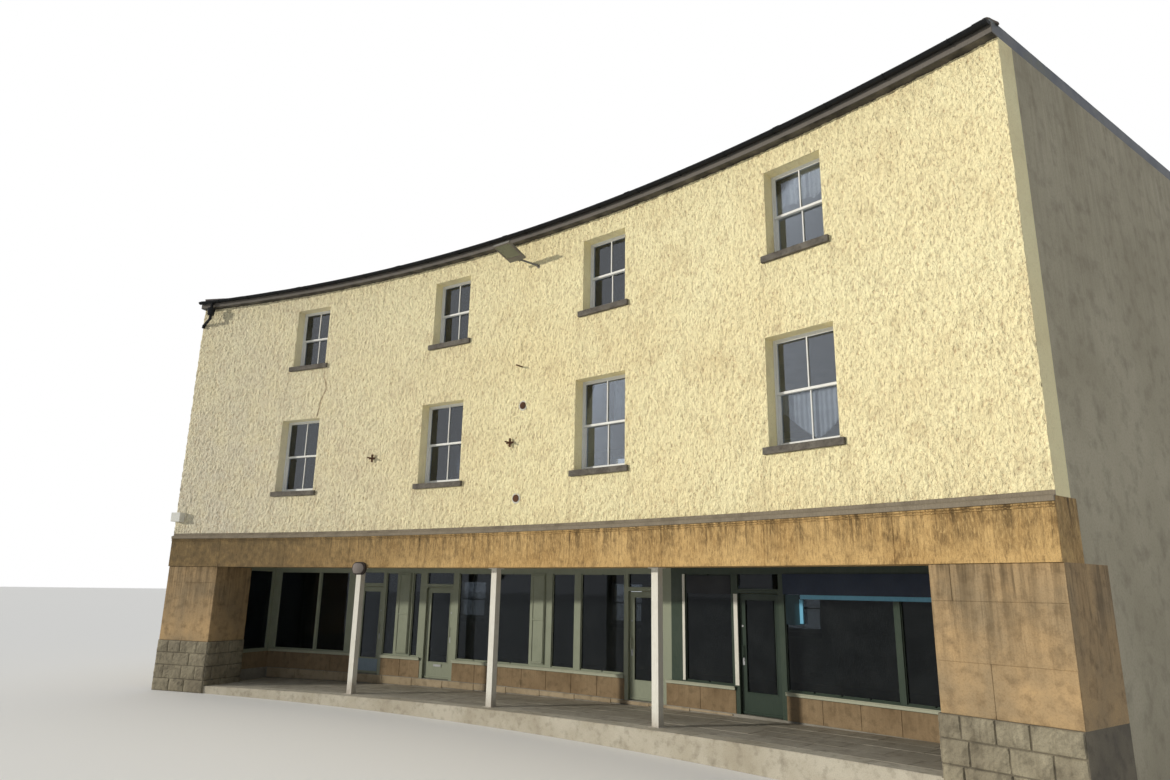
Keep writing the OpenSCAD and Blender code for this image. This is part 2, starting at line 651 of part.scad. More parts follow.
// Lower half of a barrel on the jamb (0), upper half on the leaf (1)
module hinge_half(d, upper) {
    side = upper == 1 ? -d[2] : d[2];
    translate([0, 0, upper * (barrel_h + hinge_play)]) {
        cylinder(r = barrel_r, h = barrel_h, $fn = round_fn);
        translate([side > 0 ? 0 : -hinge_flap_w, -barrel_r - hinge_seat, 0])
            cube([hinge_flap_w, barrel_r + hinge_seat, barrel_h]);
    }
}
module door_leaf(d) {
    w = leaf_w(d);
    y0 = shop_frame_d - door_t;
    at_door(d) difference() {
        translate([-w / 2, y0, 0]) cube([w, door_t, leaf_h()]);
        translate([-w / 2 + door_stile_w, y0 - e, door_panel_h])
            cube([w - 2 * door_stile_w, door_t + 2 * e, leaf_h() - door_panel_h - door_stile_w]);
    }
    each_hinge(d) hinge_half(d, 1);
    at_door(d) translate([-d[2] * (w / 2 - door_stile_w / 2), y0, pull_z]) {
        for (up = [-1, 1]) translate([0, -pull_reach, up * pull_h / 3]) rotate([-90, 0, 0])
            cylinder(r = pull_fixing_r, h = pull_reach, $fn = round_fn);
        translate([0, -pull_reach, -pull_h / 2]) cylinder(r = pull_r, h = pull_h, $fn = round_fn);
    }
}
module letter_box(d)
    at_door(d) translate([-letter_plate[0] / 2, shop_frame_d - door_t - letter_plate[1], 0.7 * door_panel_h])
        cube([letter_plate[0], letter_plate[1] + bed, letter_plate[2]]);
module door_pane(d) {
    w = leaf_w(d);
    at_door(d)
        translate([-w / 2 + door_stile_w, shop_frame_d - door_t / 2 - pane_t / 2, door_panel_h])
            cube([w - 2 * door_stile_w, pane_t, leaf_h() - door_panel_h - door_stile_w]);
}
module door_1() color("darkseagreen") door_leaf(doors[0]);
module door_2() color("darkseagreen") {
    door_leaf(doors[1]);
    letter_box(doors[1]);
}
module door_3() color("darkseagreen") door_leaf(doors[2]);
module door_4() color("darkolivegreen") door_leaf(doors[3]);
module door_1_glass() color("lightblue", 0.4) door_pane(doors[0]);
module door_2_glass() color("lightblue", 0.4) door_pane(doors[1]);
module door_3_glass() color("lightblue", 0.4) door_pane(doors[2]);
module door_4_glass() color("lightblue", 0.4) door_pane(doors[3]);

// Small things on the front wall: a flat back of width w stands just clear of the curve
function seat_y(w) = -w * w / 8 / face_r - 0.25;
lamp_plate_w = 120;
lamp_plate_t = 12;
lamp_arm_r = 20;
lamp_arm_rise = 120;
module floodlight() color("gray") at(mid_s + lamp_shift, seat_y(lamp_plate_w), lamp_z) {
    arm_start = [0, -lamp_plate_t - lamp_arm_r, 0];
    arm_end = [-lamp_reach, -lamp_reach, lamp_arm_rise];
    translate([-lamp_plate_w / 2, -lamp_plate_t, -lamp_plate_w / 2])
        cube([lamp_plate_w, lamp_plate_t, lamp_plate_w]);
    rotate([90, 0, 0]) cylinder(r = 1.3 * lamp_arm_r, h = lamp_plate_t + 2 * lamp_arm_r, $fn = round_fn);
    pipe_run(arm_start, arm_end, lamp_arm_r);
    translate(arm_end) rotate([-lamp_tilt, 0, 0]) floodlight_head();
}
// Head with a swivel, cooling fins and a gear box on its back, and a sunk light face below
swivel_l = 120;
lamp_border = 25;
lamp_face_sunk = 8;
fin_t = 6;
module floodlight_head() {
    fins_l = 0.6 * lamp_l;
    rotate([90, 0, 0]) translate([0, 0, -swivel_l / 2])
        cylinder(r = 1.5 * lamp_arm_r, h = swivel_l, $fn = round_fn);
    difference() {
        translate([-lamp_w / 2, -lamp_l, -lamp_t / 2]) cube([lamp_w, lamp_l, lamp_t / 2]);
        translate([lamp_border - lamp_w / 2, lamp_border - lamp_l, -lamp_t / 2 - e])
            cube([lamp_w - 2 * lamp_border, lamp_l * 0.72, e + lamp_face_sunk]);
    }
    for (i = [-3:3]) translate([i * lamp_w / 8 - fin_t / 2, -fins_l - lamp_l * 0.3, -e])
        cube([fin_t, fins_l, lamp_t / 2 + e]);
    translate([-lamp_w / 4, -lamp_l * 0.35, -e]) cube([lamp_w / 2, lamp_l * 0.3, lamp_t / 2 + e]);
}
// Oval lamp whose upper half is fixed to the fascia: a rim with a domed lens
bulkhead_z = -20;
bulkhead_rim = 25;
bulkhead_rim_d = 60;
bulkhead_d = 120;
module bulkhead_lamp() color("dimgray")
    at(mid_s + bulkhead_shift, seat_y(bulkhead_w) - fascia_proud, fascia_z + bulkhead_z)
    rotate([90, 0, 0]) {
        dome_r = 0.7 * bulkhead_w;
        linear_extrude(bulkhead_rim_d) oval(bulkhead_w, bulkhead_h);
        intersection() {
            linear_extrude(bulkhead_d + e)
                oval(bulkhead_w - 2 * bulkhead_rim, bulkhead_h - 2 * bulkhead_rim);
            translate([0, 0, bulkhead_d - dome_r]) sphere(r = dome_r, $fn = round_fn);
        }
    }
module oval(w, h) {
    square([w - h, h], center = true);
    for (side = [-1, 1]) translate([side * (w - h) / 2, 0]) circle(r = h / 2, $fn = round_fn);
}
module wall_box() color("white")
    at(box_w / 2 + bed, seat_y(box_w), box_z) translate([-box_w / 2, -box_d, 0]) cube([box_w, box_d, box_h]);
// Iron pins left in the wall: place from the middle, height, and 1 for one with a cross plate
pin_w = 18;
pin_l = 45;
cross_w = 140;
pins = [[-3560, 5030, 1], [180, 5060, 1], [390, 6530, 0]];
module wall_studs() color("dimgray") for (p = pins) at(mid_s + p[0], seat_y(pin_w), p[1]) {
    translate([-pin_w / 2, -pin_l, -pin_w / 2]) cube([pin_w, pin_l, pin_w]);
    if (p[2] == 1) for (turned = [0, 90]) rotate([0, turned, 0])
        translate([-cross_w / 2, -pin_l - pin_w / 2, -pin_w / 2]) cube([cross_w, pin_w, pin_w]);
}

ground_floor_slab();
arcade_floor();
pier_left();
pier_right();
pier_left_base();
pier_right_base();
party_wall_left();
party_wall_right();
front_wall_bay_1();
front_wall_bay_2();
front_wall_bay_3();
front_wall_bay_4();
rear_wall_bay_1();
rear_wall_bay_2();
rear_wall_bay_3();
rear_wall_bay_4();
stone_fascia();
fascia_flashing();
arcade_soffit();
arcade_posts();
first_floor();
second_floor();
top_ceiling();
roof();
eaves_boards();
front_gutter();
rear_gutter();
gutter_outlet();
bulkhead_lamp();
front_window_sills();
front_window_sashes();
front_window_glass();
rear_window_sills();
rear_window_sashes();
rear_window_glass();
stallrisers();
shopfront_head();
shopfront_left();
shopfront_right();
shop_glass();
sign_band();
door_1();
door_1_glass();
door_2();
door_2_glass();
door_3();
door_3_glass();
door_4();
door_4_glass();
floodlight();
wall_box();
wall_studs();
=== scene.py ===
"""Looks of the corner shop building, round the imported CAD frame. Metres, +X along the front,
the street on the -Y side. Places along the front are arc lengths s on the street face."""
from math import asin, cos, pi, radians, sin, tan
import bpy
import numpy as np
from mathutils import Matrix, Vector


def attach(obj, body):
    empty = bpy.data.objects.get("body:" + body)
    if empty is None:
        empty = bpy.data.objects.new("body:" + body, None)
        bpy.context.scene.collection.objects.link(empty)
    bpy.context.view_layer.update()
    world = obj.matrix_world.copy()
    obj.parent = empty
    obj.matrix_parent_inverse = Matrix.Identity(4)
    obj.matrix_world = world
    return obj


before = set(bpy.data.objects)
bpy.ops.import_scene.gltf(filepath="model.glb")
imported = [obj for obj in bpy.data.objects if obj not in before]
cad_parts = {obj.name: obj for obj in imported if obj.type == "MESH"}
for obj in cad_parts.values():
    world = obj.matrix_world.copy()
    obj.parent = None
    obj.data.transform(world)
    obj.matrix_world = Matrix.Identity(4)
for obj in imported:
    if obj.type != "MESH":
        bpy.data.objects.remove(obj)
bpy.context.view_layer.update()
scene = bpy.context.scene

# ---- sizes, as in part.scad
FACE_R, LEN, DEPTH, MID_R = 30.6, 18.6, 7.8, 34.5
MID_S = LEN / 2
FASCIA_Z, FASCIA_H, FASCIA_PROUD = 2.746, 0.70, 0.04
FASCIA_TOP = FASCIA_Z + FASCIA_H
WALL_TOP = 9.137
PIER_L, PIER_R, PIER_D, BASE_H, BASE_PROUD = 1.44, 1.50, 1.07, 1.09, 0.025
PIER_R_S = LEN - PIER_R
SHOP_OFF, SHOP_FLOOR, STALL_Z, RAIL = 2.13, 0.39, 0.765, 0.08
SHOP_HEAD, TRANSOM, SHOP_D, POST = 2.69, 2.365, 0.10, 0.09
END_W = 1.175
FIRST = dict(s=[MID_S + v for v in (-5.835, -1.7, 2.275, 6.165)], sill=4.416, w=1.13, h=1.66)
SECOND = dict(s=[MID_S + v for v in (-5.77, -1.61, 2.335, 6.185)], sill=7.362, w=0.98, h=1.404)
WINDOWS = [(w, s) for w in (FIRST, SECOND) for s in w["s"]]
REVEAL, SASH_D, SILL_H = 0.20, 0.10, 0.10
DOORS = [(MID_S + a, MID_S + a + w, side)
         for a, w, side in ((-5.53, .65, -1), (-3.64, .70, -1), (1.39, .72, 1), (3.63, .73, 1))]
CORNER = END_W + 0.24
LIGHTS = [(MID_S + a, MID_S + b) for a, b in (
    (CORNER - MID_S, -6.746), (-6.686, -5.86), (-4.79, -4.475), (-4.03, -3.83), (-2.78, -.92),
    (-.384, .149), (.301, 1.29), (2.592, 3.497), (4.463, 6.22), (6.31, MID_S - CORNER))]
PILASTERS = [(MID_S - 4.44, MID_S - 4.05), (MID_S - .894, MID_S - .517)]
EAVES_PROUD, EAVES_T, EAVES_H, PITCH = 0.13, 0.02, 0.15, radians(19)
EAVES_OFF = -EAVES_PROUD - EAVES_T
ROOF_OFF = EAVES_OFF - EAVES_T
ROOF_Z = WALL_TOP + EAVES_H + EAVES_T
GUTTER_R = 0.055
DOOR_T, DOOR_STILE, DOOR_PANEL, DOOR_GAP = 0.045, 0.095, 0.345, 0.008
PAVE_Z, PAVE_FALL = 0.12, 0.0165
BURIED, SEAM, JOINT = 0.004, 0.002, 0.003  # how far slabs reach in; half a seam or joint between them
FLOOD_S, FLOOD_Z, FLOOD_ARM, FLOOD_TILT = MID_S + 0.69, 8.56, (-0.28, -0.28, 0.12), radians(-17)
BULKHEAD_S, BOX_S, BOX_Z = MID_S - 3.64, 0.13, 3.78
CAPS, CROSSES, LONE_PIN = ((9.745, 5.757), (9.655, 4.0)), ((5.74, 5.03), (9.48, 5.06)), (9.69, 6.53)


def turn(s):
    return (s - MID_S) / FACE_R


def place(s, off, z):
    """A point of the row frame from its place along the front, distance behind the face, height."""
    a, r = turn(s), FACE_R + off
    return np.stack(np.broadcast_arrays(r * np.sin(a), r * np.cos(a) - MID_R, z), -1)


def at(s, off=0.0, z=0.0):
    """The straight frame that windows and doors stand in: x along the front, y inwards, z up."""
    p = place(np.float64(s), off, z)
    return Matrix.Translation(Vector(p)) @ Matrix.Rotation(-turn(s), 4, "Z")


def paving_z(x):
    return PAVE_Z + (x + FACE_R * sin(MID_S / FACE_R)) * PAVE_FALL

# ---- meshes
def link(name, data):
    o = bpy.data.objects.new(name, data)
    scene.collection.objects.link(o)
    return o


def mesh(name, verts, faces, mat, body="root", smooth=False, slot=None, sharp=None):
    me = bpy.data.meshes.new(name)
    me.from_pydata([tuple(map(float, v)) for v in verts], [], [tuple(map(int, f)) for f in faces])
    me.update()
    if smooth:
        me.polygons.foreach_set("use_smooth", [True] * len(me.polygons))
        if sharp:
            me.set_sharp_from_angle(angle=radians(sharp))
    o = link(name, me)
    me.materials.append(mat)
    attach(o, body)
    return o


def point_values(o, name, values):
    """A value for each vertex, which the piece's material reads by name."""
    o.data.attributes.new(name, "FLOAT", "POINT").data.foreach_set("value", np.array(values, np.float32))


class Pile:
    """Closed solids gathered into one mesh."""
    def __init__(self):
        self.v, self.f, self.n = [], [], 0

    def add(self, verts, faces):
        verts = np.asarray(verts, float).reshape(-1, 3)
        self.v.append(verts)
        self.f += [tuple(i + self.n for i in f) for f in faces]
        self.n += len(verts)

    def box(self, m, lo, hi, chamfer):
        """A box in the frame m, chamfered round the face at its lower y."""
        x0, y0, z0 = lo
        x1, y1, z1 = hi
        c = min(chamfer, (x1 - x0) / 3, (z1 - z0) / 3, y1 - y0)
        v = [m @ Vector(p) for y, g in ((y0, c), (y0 + c, 0), (y1, 0)) for p in (
            (x0 + g, y, z0 + g), (x1 - g, y, z0 + g), (x1 - g, y, z1 - g), (x0 + g, y, z1 - g))]
        f = [(0, 1, 2, 3), (11, 10, 9, 8)]
        for b in (0, 4):
            for i in range(4):
                j = (i + 1) % 4
                f.append((b + i, b + 4 + i, b + 4 + j, b + j))
        self.add(v, f)

    def tube(self, points, r, sides):
        """A round bar along points, with closed ends."""
        pts = [Vector(p) for p in points]
        turns = [2 * pi * k / sides for k in range(sides)]
        v = []
        for i, p in enumerate(pts):
            d = (pts[min(i + 1, len(pts) - 1)] - pts[max(i - 1, 0)]).normalized()
            side = d.cross(Vector((0, 0, 1) if abs(d.z) < .9 else (1, 0, 0))).normalized()
            top = side.cross(d)
            v += [p + r * (cos(a) * side + sin(a) * top) for a in turns]
        n = len(v) - sides
        f = []
        for a in range(n):
            b = a + 1 if (a + 1) % sides else a + 1 - sides
            f.append((a, b, b + sides, a + sides))
        self.add(v, f + [tuple(range(sides))[::-1], tuple(range(n, n + sides))])

    def make(self, name, mat, **kw):
        return mesh(name, np.concatenate(self.v), self.f, mat, **kw)


def grid_solid(nu, nv):
    """Faces of a closed slab: a front grid of nu by nv points, a back grid after it, and a rim."""
    n = nu * nv
    f = []
    for j in range(nv - 1):
        for i in range(nu - 1):
            q = (j * nu + i, j * nu + i + 1, (j + 1) * nu + i + 1, (j + 1) * nu + i)
            f += [q, tuple(v + n for v in q[::-1])]
    rim = [*range(nu), *range(2 * nu - 1, n, nu), *range(n - 2, n - nu - 1, -1),
           *range(n - 2 * nu, 0, -nu)]
    f += [(b, a, a + n, b + n) for a, b in zip(rim, rim[1:] + rim[:1])]
    return f


def blocks(name, rects, to_xyz, depth, mat, chamfer=.003, cell=.3, rough=0, seed=1, vary=0,
           flip=False, **kw):
    """Slabs or rock-faced stones on a face. to_xyz(u, v, h) maps a place on the face and the height
    h off it. The front of each is a grid with eased edges and random relief; vary is the
    spread of depths."""
    rng = np.random.default_rng(seed)
    pile = Pile()

    def marks(a, b):
        inner = np.linspace(a + chamfer, b - chamfer, max(2, round((b - a) / cell) + 1))
        return np.concatenate([[a], inner, [b]])
    for u0, u1, v0, v1 in rects:
        us, vs = marks(u0, u1), marks(v0, v1)
        uu, vv = np.meshgrid(us, vs)
        edge_gap = np.minimum.reduce([uu - u0, u1 - uu, vv - v0, v1 - vv])
        h = depth * np.ones_like(uu) + vary * (rng.random() - .5)
        if rough:
            k = np.zeros_like(uu)
            for _ in range(7):
                cu, cv = rng.uniform(u0, u1), rng.uniform(v0, v1)
                ru = rng.uniform(.05, .16)
                k += rng.uniform(-1, 1) * np.exp(-((uu - cu) ** 2 + (1.4 * (vv - cv)) ** 2) / ru ** 2)
            k += rng.normal(0, .22, uu.shape)
            h += rough * k + rough * 1.2 * np.clip(edge_gap / .06, 0, 1) ** .6 - rough
        h = np.where(edge_gap <= 1e-9, np.minimum(h, depth) - chamfer, h)
        f = grid_solid(len(us), len(vs))
        if flip:
            f = [q[::-1] for q in f]
        pile.add(np.concatenate([to_xyz(uu, vv, np.maximum(h, .0005)).reshape(-1, 3),
                                 to_xyz(uu, vv, np.full(uu.shape, -BURIED)).reshape(-1, 3)]), f)
    return pile.make(name, mat, **kw)


def front_face(base_off):
    return lambda u, v, h: place(u, base_off - h, v)


def cross_face(s_face, way):
    """A face across the plan at s_face that looks towards way: u is the distance behind the front."""
    return lambda u, v, h: place(s_face + way * h, u, v)


def rows(u0, u1, v_marks, length, joint, seed, jitter=.25):
    """Rectangles of a coursed wall, with joints between them."""
    rng = np.random.default_rng(seed)
    out = []
    for k in range(len(v_marks) - 1):
        cuts = [u0]
        while cuts[-1] < u1 - 1e-6:
            step = length * (1 + jitter * rng.uniform(-1, 1)) * (.6 if len(cuts) == 1 and k % 2 else 1)
            cuts.append(min(u1, cuts[-1] + step))
        if len(cuts) > 2 and cuts[-1] - cuts[-2] < length * .35:
            cuts.pop(-2)
        g = joint / 2
        out += [(a + g, b - g, v_marks[k] + g, v_marks[k + 1] - g) for a, b in zip(cuts, cuts[1:])]
    return out

# ---- materials
def node(nt, kind, ins=None, **props):
    n = nt.nodes.new("ShaderNode" + kind)
    for k, v in props.items():
        setattr(n, k, v)
    for k, v in (ins or {}).items():
        if isinstance(v, bpy.types.NodeSocket):
            nt.links.new(v, n.inputs[k])
        elif v is not None:
            n.inputs[k].default_value = v
    return n


def blend(nt, fac, a, b):
    return node(nt, "MixShader", {0: fac, 1: a.outputs[0], 2: b.outputs[0]})


def lin(r, g, b):
    """An sRGB colour written 0-255, as the linear colour that a socket takes."""
    out = [c / 12.92 if c <= .04045 else ((c + .055) / 1.055) ** 2.4 for c in (r / 255, g / 255, b / 255)]
    return (*out, 1.0)


def calc(nt, op, a, b=0.0, c=0.0, clamp=False):
    return node(nt, "Math", {0: a, 1: b, 2: c}, operation=op, use_clamp=clamp).outputs[0]


def polar_group():
    """Object coordinates to (s, distance behind the front, height)."""
    g = bpy.data.node_groups.new("along_front", "ShaderNodeTree")
    g.interface.new_socket("Place", in_out="OUTPUT", socket_type="NodeSocketVector")
    out = g.nodes.new("NodeGroupOutput")
    xyz = node(g, "SeparateXYZ", {0: node(g, "TexCoord").outputs["Object"]})
    y = calc(g, "ADD", xyz.outputs[1], MID_R)
    angle = calc(g, "ARCTAN2", xyz.outputs[0], y)
    s = calc(g, "MULTIPLY_ADD", angle, FACE_R, MID_S)
    r = calc(g, "SQRT", calc(g, "ADD", calc(g, "MULTIPLY", xyz.outputs[0], xyz.outputs[0]),
                             calc(g, "MULTIPLY", y, y)))
    v = node(g, "CombineXYZ", {0: s, 1: calc(g, "SUBTRACT", r, FACE_R), 2: xyz.outputs[2]})
    g.links.new(v.outputs[0], out.inputs[0])
    return g


ALONG = polar_group()


class Mat:
    """A node material under construction. p is the place vector: polar, or object coordinates."""
    def __init__(self, name, polar=True):
        self.m = bpy.data.materials.new(name)
        self.m.use_nodes = True
        self.nt = nt = self.m.node_tree
        nt.nodes.clear()
        self.out = nt.nodes.new("ShaderNodeOutputMaterial")
        if polar:
            g = nt.nodes.new("ShaderNodeGroup")
            g.node_tree = ALONG
            self.p = g.outputs[0]
        else:
            self.p = node(nt, "TexCoord").outputs["Object"]
        self.xyz = node(nt, "SeparateXYZ", {0: self.p}).outputs

    def scaled(self, x, y, z, shift=(0, 0, 0)):
        return node(self.nt, "Mapping", {0: self.p, 1: shift, 3: (x, y, z)}).outputs[0]

    def noise(self, scale=(1, 1, 1), size=5.0, detail=4.0, rough=.55, shift=(0, 0, 0), distort=0.0):
        n = node(self.nt, "TexNoise", {"Vector": self.scaled(*scale, shift=shift), "Scale": size,
                                       "Detail": detail, "Roughness": rough, "Distortion": distort})
        return n.outputs["Fac"]

    def cells(self, size):
        return node(self.nt, "TexVoronoi", {"Vector": self.p, "Scale": size}).outputs["Distance"]

    def span(self, v, a, b, lo=0.0, hi=1.0):
        return node(self.nt, "MapRange", {"Value": v, "From Min": a, "From Max": b, "To Min": lo,
                                          "To Max": hi}).outputs[0]

    def mix(self, fac, a, b):
        return node(self.nt, "Mix", {0: fac, 6: a, 7: b}, data_type="RGBA").outputs[2]

    def math(self, op, a, b=0.0, c=0.0, clamp=False):
        return calc(self.nt, op, a, b, c, clamp)

    def times(self, a, b):
        return calc(self.nt, "MULTIPLY", a, b)

    def bump(self, height, distance, strength=1.0, normal=None):
        return node(self.nt, "Bump", {"Height": height, "Distance": distance, "Strength": strength,
                                      "Normal": normal}).outputs[0]

    def attribute(self, name):
        return node(self.nt, "Attribute", attribute_name=name).outputs["Fac"]

    def finish(self, color, rough, normal=None, shine=.5):
        bsdf = node(self.nt, "BsdfPrincipled", {"Base Color": color, "Roughness": rough, "Normal": normal,
                                                "Specular IOR Level": shine})
        self.nt.links.new(bsdf.outputs[0], self.out.inputs[0])
        return self.m


def roughcast(name, fine):
    """Cream roughcast: stained, darker under the sills and eaves, with dirt and painted shade in its
    hollows, and with painted shade greying its left end.
    """
    m = Mat(name)
    s, _, z = m.xyz
    broad = m.noise(size=.55, detail=3)
    patch = m.noise(size=2.2, detail=5, shift=(7, 3, 1))
    grit = m.noise(size=38, detail=3, rough=.6)
    lumps = m.noise(scale=(1.4, 1, .8), size=21 if fine else 12, detail=3, rough=.6, distort=.5)
    color = m.mix(m.span(broad, .35, .7), lin(248, 238, 192), lin(244, 230, 182))
    color = m.mix(m.span(patch, .52, .75, 0, .45), color, lin(210, 190, 146))
    color = m.mix(m.span(grit, .55, .75, 0, .35), color, lin(196, 178, 138))
    streak = m.noise(scale=(5, 1, .35), size=1.6, detail=4, shift=(2, 0, 5))
    foot = m.times(m.span(z, *((3.46, 4.0) if fine else (.1, .8)), 1, 0), m.span(streak, .45, .7))
    head = m.times(m.span(z, 8.2, 9.1), m.span(streak, .5, .75))
    color = m.mix(m.times(foot, .5), color, lin(160, 146, 112))
    color = m.mix(m.times(head, .45), color, lin(170, 156, 122))
    # Painted shade: the left end, most of all low down, is greyer and darker, as if out of the sun.
    left = m.times(m.span(s, 9.5, 1.5, 0, .8), m.span(z, 9.0, 4.2, .6, 1))
    color = m.mix(m.times(left, m.span(patch, .3, .6, .7, 1)), color, lin(214, 208, 190))
    if fine:
        # The skin's stain attribute: stains, with painted shade in the hollows and the crack.
        color = m.mix(m.attribute("stain_and_shade"), color, lin(128, 98, 72))
        # Dirt and painted shade: darker where the lumps are low, in the hollows.
        color = m.mix(m.span(lumps, .44, .32, 0, .6), color, lin(172, 140, 104))
        normal = m.bump(grit, .010, .8, m.bump(lumps, .05))
    else:
        normal = m.bump(grit, .006, .7, m.bump(lumps, .03, .9))
    return m.finish(color, .95, normal)


def stone(name, light, mid, dark, size=1.0, streaks=0.0, z_top=1.0, z_run=1.0, bump=.004, grime_and_shade=False):
    """Mottled stone, with dark runs down from z_top over z_run. The grime option adds a weathered crust,
    whose dark flecks are partly painted shadow of string lights, and a left end darkened by grime and
    painted shade.
    """
    m = Mat(name)
    light, mid, dark = lin(*light), lin(*mid), lin(*dark)
    s, _, z = m.xyz
    cloud = m.noise(size=1.3 * size, detail=5, rough=.6)
    mottle = m.noise(size=7 * size, detail=5, rough=.6, shift=(4, 1, 9))
    grain = m.noise(size=70 * size, detail=3, rough=.6)
    color = m.mix(m.span(cloud, .38, .64), light, mid)
    color = m.mix(m.span(mottle, .5, .72, 0, .6), color, dark)
    if streaks:
        run = m.noise(scale=(4.5, 4.5, .28), size=2.1, detail=5, rough=.65, shift=(3, 2, 0), distort=.3)
        thin = m.noise(scale=(9, 9, .5), size=2.6, detail=4, rough=.6, shift=(1, 6, 2))
        down = m.span(z, z_top - z_run, z_top)
        level = m.times(m.span(run, .42, .66), m.math("POWER", down, .8))
        level = m.math("MAXIMUM", level, m.times(m.span(thin, .5, .7), m.math("POWER", down, .6)))
        color = m.mix(m.times(level, streaks), color, lin(52, 42, 28))
    color = m.mix(m.span(grain, .45, .75, 0, .35), color, dark)
    normal = m.bump(grain, bump, .6, m.bump(mottle, bump * 2, .5))
    if grime_and_shade:
        crust_and_shadow = m.noise(scale=(2.2, 2.2, .6), size=18, detail=6, rough=.72, shift=(2, 8, 4), distort=.4)
        color = m.mix(m.span(crust_and_shadow, .48, .36, 0, .5), color, lin(216, 184, 128))
        # Grime and painted shade: the left end is darker and greyer.
        left = m.times(m.span(s, 9.0, 3.0, 0, .92), m.span(mottle, .3, .6, .7, 1))
        color = m.mix(left, color, lin(98, 84, 60))
        # Dark flecks: partly a crumbly crust, partly painted shadow of string lights.
        color = m.mix(m.span(crust_and_shadow, .52, .66, 0, .5), color, lin(64, 48, 30))
        normal = m.bump(crust_and_shadow, .02, .8, normal)
    return m.finish(color, .9, normal)


def paint(name, color, worn, rough=.45, wear=.25, dirt=(70, 66, 58), foot=None, bump=.0012, other=None,
          shine=.5):
    """Brushed paint, worn and chipped to dirt, which thickens down from foot[1] to foot[0]; on the eaves
    board that foot band is painted shade. From the place other[0] along the front on, the colour is
    other[1]."""
    m = Mat(name)
    color, worn, dirt = lin(*color), lin(*worn), lin(*dirt)
    s, _, z = m.xyz
    if other:
        color = m.mix(m.span(s, other[0], other[0] + .01), color, lin(*other[1]))
    brush = m.noise(scale=(3, 3, .5), size=22, detail=4)
    patch = m.noise(size=3.1, detail=5, shift=(5, 2, 8))
    chips = m.noise(size=26, detail=4, rough=.7, shift=(1, 1, 3))
    c = m.mix(m.span(brush, .3, .75, 0, .1 if other else .5), color, worn)
    c = m.mix(m.span(patch, .5, .8, 0, 0 if other else wear * 1.4), c, worn)
    c = m.mix(m.span(chips, .66, .7, 0, wear), c, dirt)
    if foot:
        low = m.times(m.span(z, foot[0], foot[1], 1, 0), m.span(patch, .35, .7, .35, 1))
        c = m.mix(low, c, dirt)
    r = m.span(patch, .3, .8, rough, min(1, rough + .25))
    return m.finish(c, r, m.bump(brush, bump, .6), shine)


def glazing(name, tint, see, reflect=.06, dusty=1.0):
    """Dark glass: a Fresnel reflection over a tinted see-through sheet with a little dust."""
    m = Mat(name, polar=False)
    nt = m.nt
    dust = m.noise(size=3, detail=5)
    wave = m.noise(size=1.1, detail=2, shift=(3, 3, 3))
    clear = node(nt, "BsdfTransparent", {0: see})
    film = node(nt, "BsdfDiffuse", {0: m.mix(m.span(dust, .4, .8), tint, lin(70, 74, 76))})
    body = blend(nt, m.span(dust, .3, .8, .06 * dusty, .2 * dusty), clear, film)
    gloss = node(nt, "BsdfGlossy", {"Color": (.9, .94, 1, 1), "Roughness": .03,
                                    "Normal": m.bump(wave, .004, .35)})
    fres = node(nt, "Fresnel", {"IOR": 1.5})
    fac = m.math("ADD", fres.outputs[0], reflect - .04, clamp=True)
    nt.links.new(blend(nt, fac, body, gloss).outputs[0], m.out.inputs[0])
    return m.m


def net(name, color, cover, lace=False):
    """Thin net cloth: threads with gaps between them that let light through."""
    m = Mat(name, polar=False)
    nt = m.nt
    weave = m.noise(size=420, detail=2)
    if lace:
        weave = m.math("MULTIPLY_ADD", m.cells(34), 1.1, m.times(weave, .4))
    color = lin(*color)
    tone = m.mix(m.span(m.noise(size=9, detail=4), .35, .7), color, (*(.8 * c for c in color[:3]), 1))
    thread = blend(nt, .35, node(nt, "BsdfDiffuse", {0: tone}), node(nt, "BsdfTranslucent", {0: tone}))
    fac = m.span(weave, .3, .7, cover - .2, min(1, cover + .2))
    cloth = blend(nt, fac, node(nt, "BsdfTransparent"), thread)
    nt.links.new(cloth.outputs[0], m.out.inputs[0])
    return m.m


def slates():
    m = Mat("roof_slate")
    tone = m.noise(scale=(4, 4, 4), size=1.0, detail=1)
    grain = m.noise(size=30, detail=5, rough=.7)
    moss = m.noise(size=1.1, detail=6, rough=.65, shift=(9, 0, 0))
    c = m.mix(m.span(tone, .3, .7), lin(72, 78, 88), lin(98, 100, 104))
    c = m.mix(m.attribute("tone"), c, lin(52, 56, 64))
    c = m.mix(m.span(grain, .5, .75, 0, .4), c, lin(46, 48, 52))
    c = m.mix(m.span(moss, .58, .72, 0, .55), c, lin(92, 96, 62))
    return m.finish(c, .62, m.bump(grain, .003, .6))


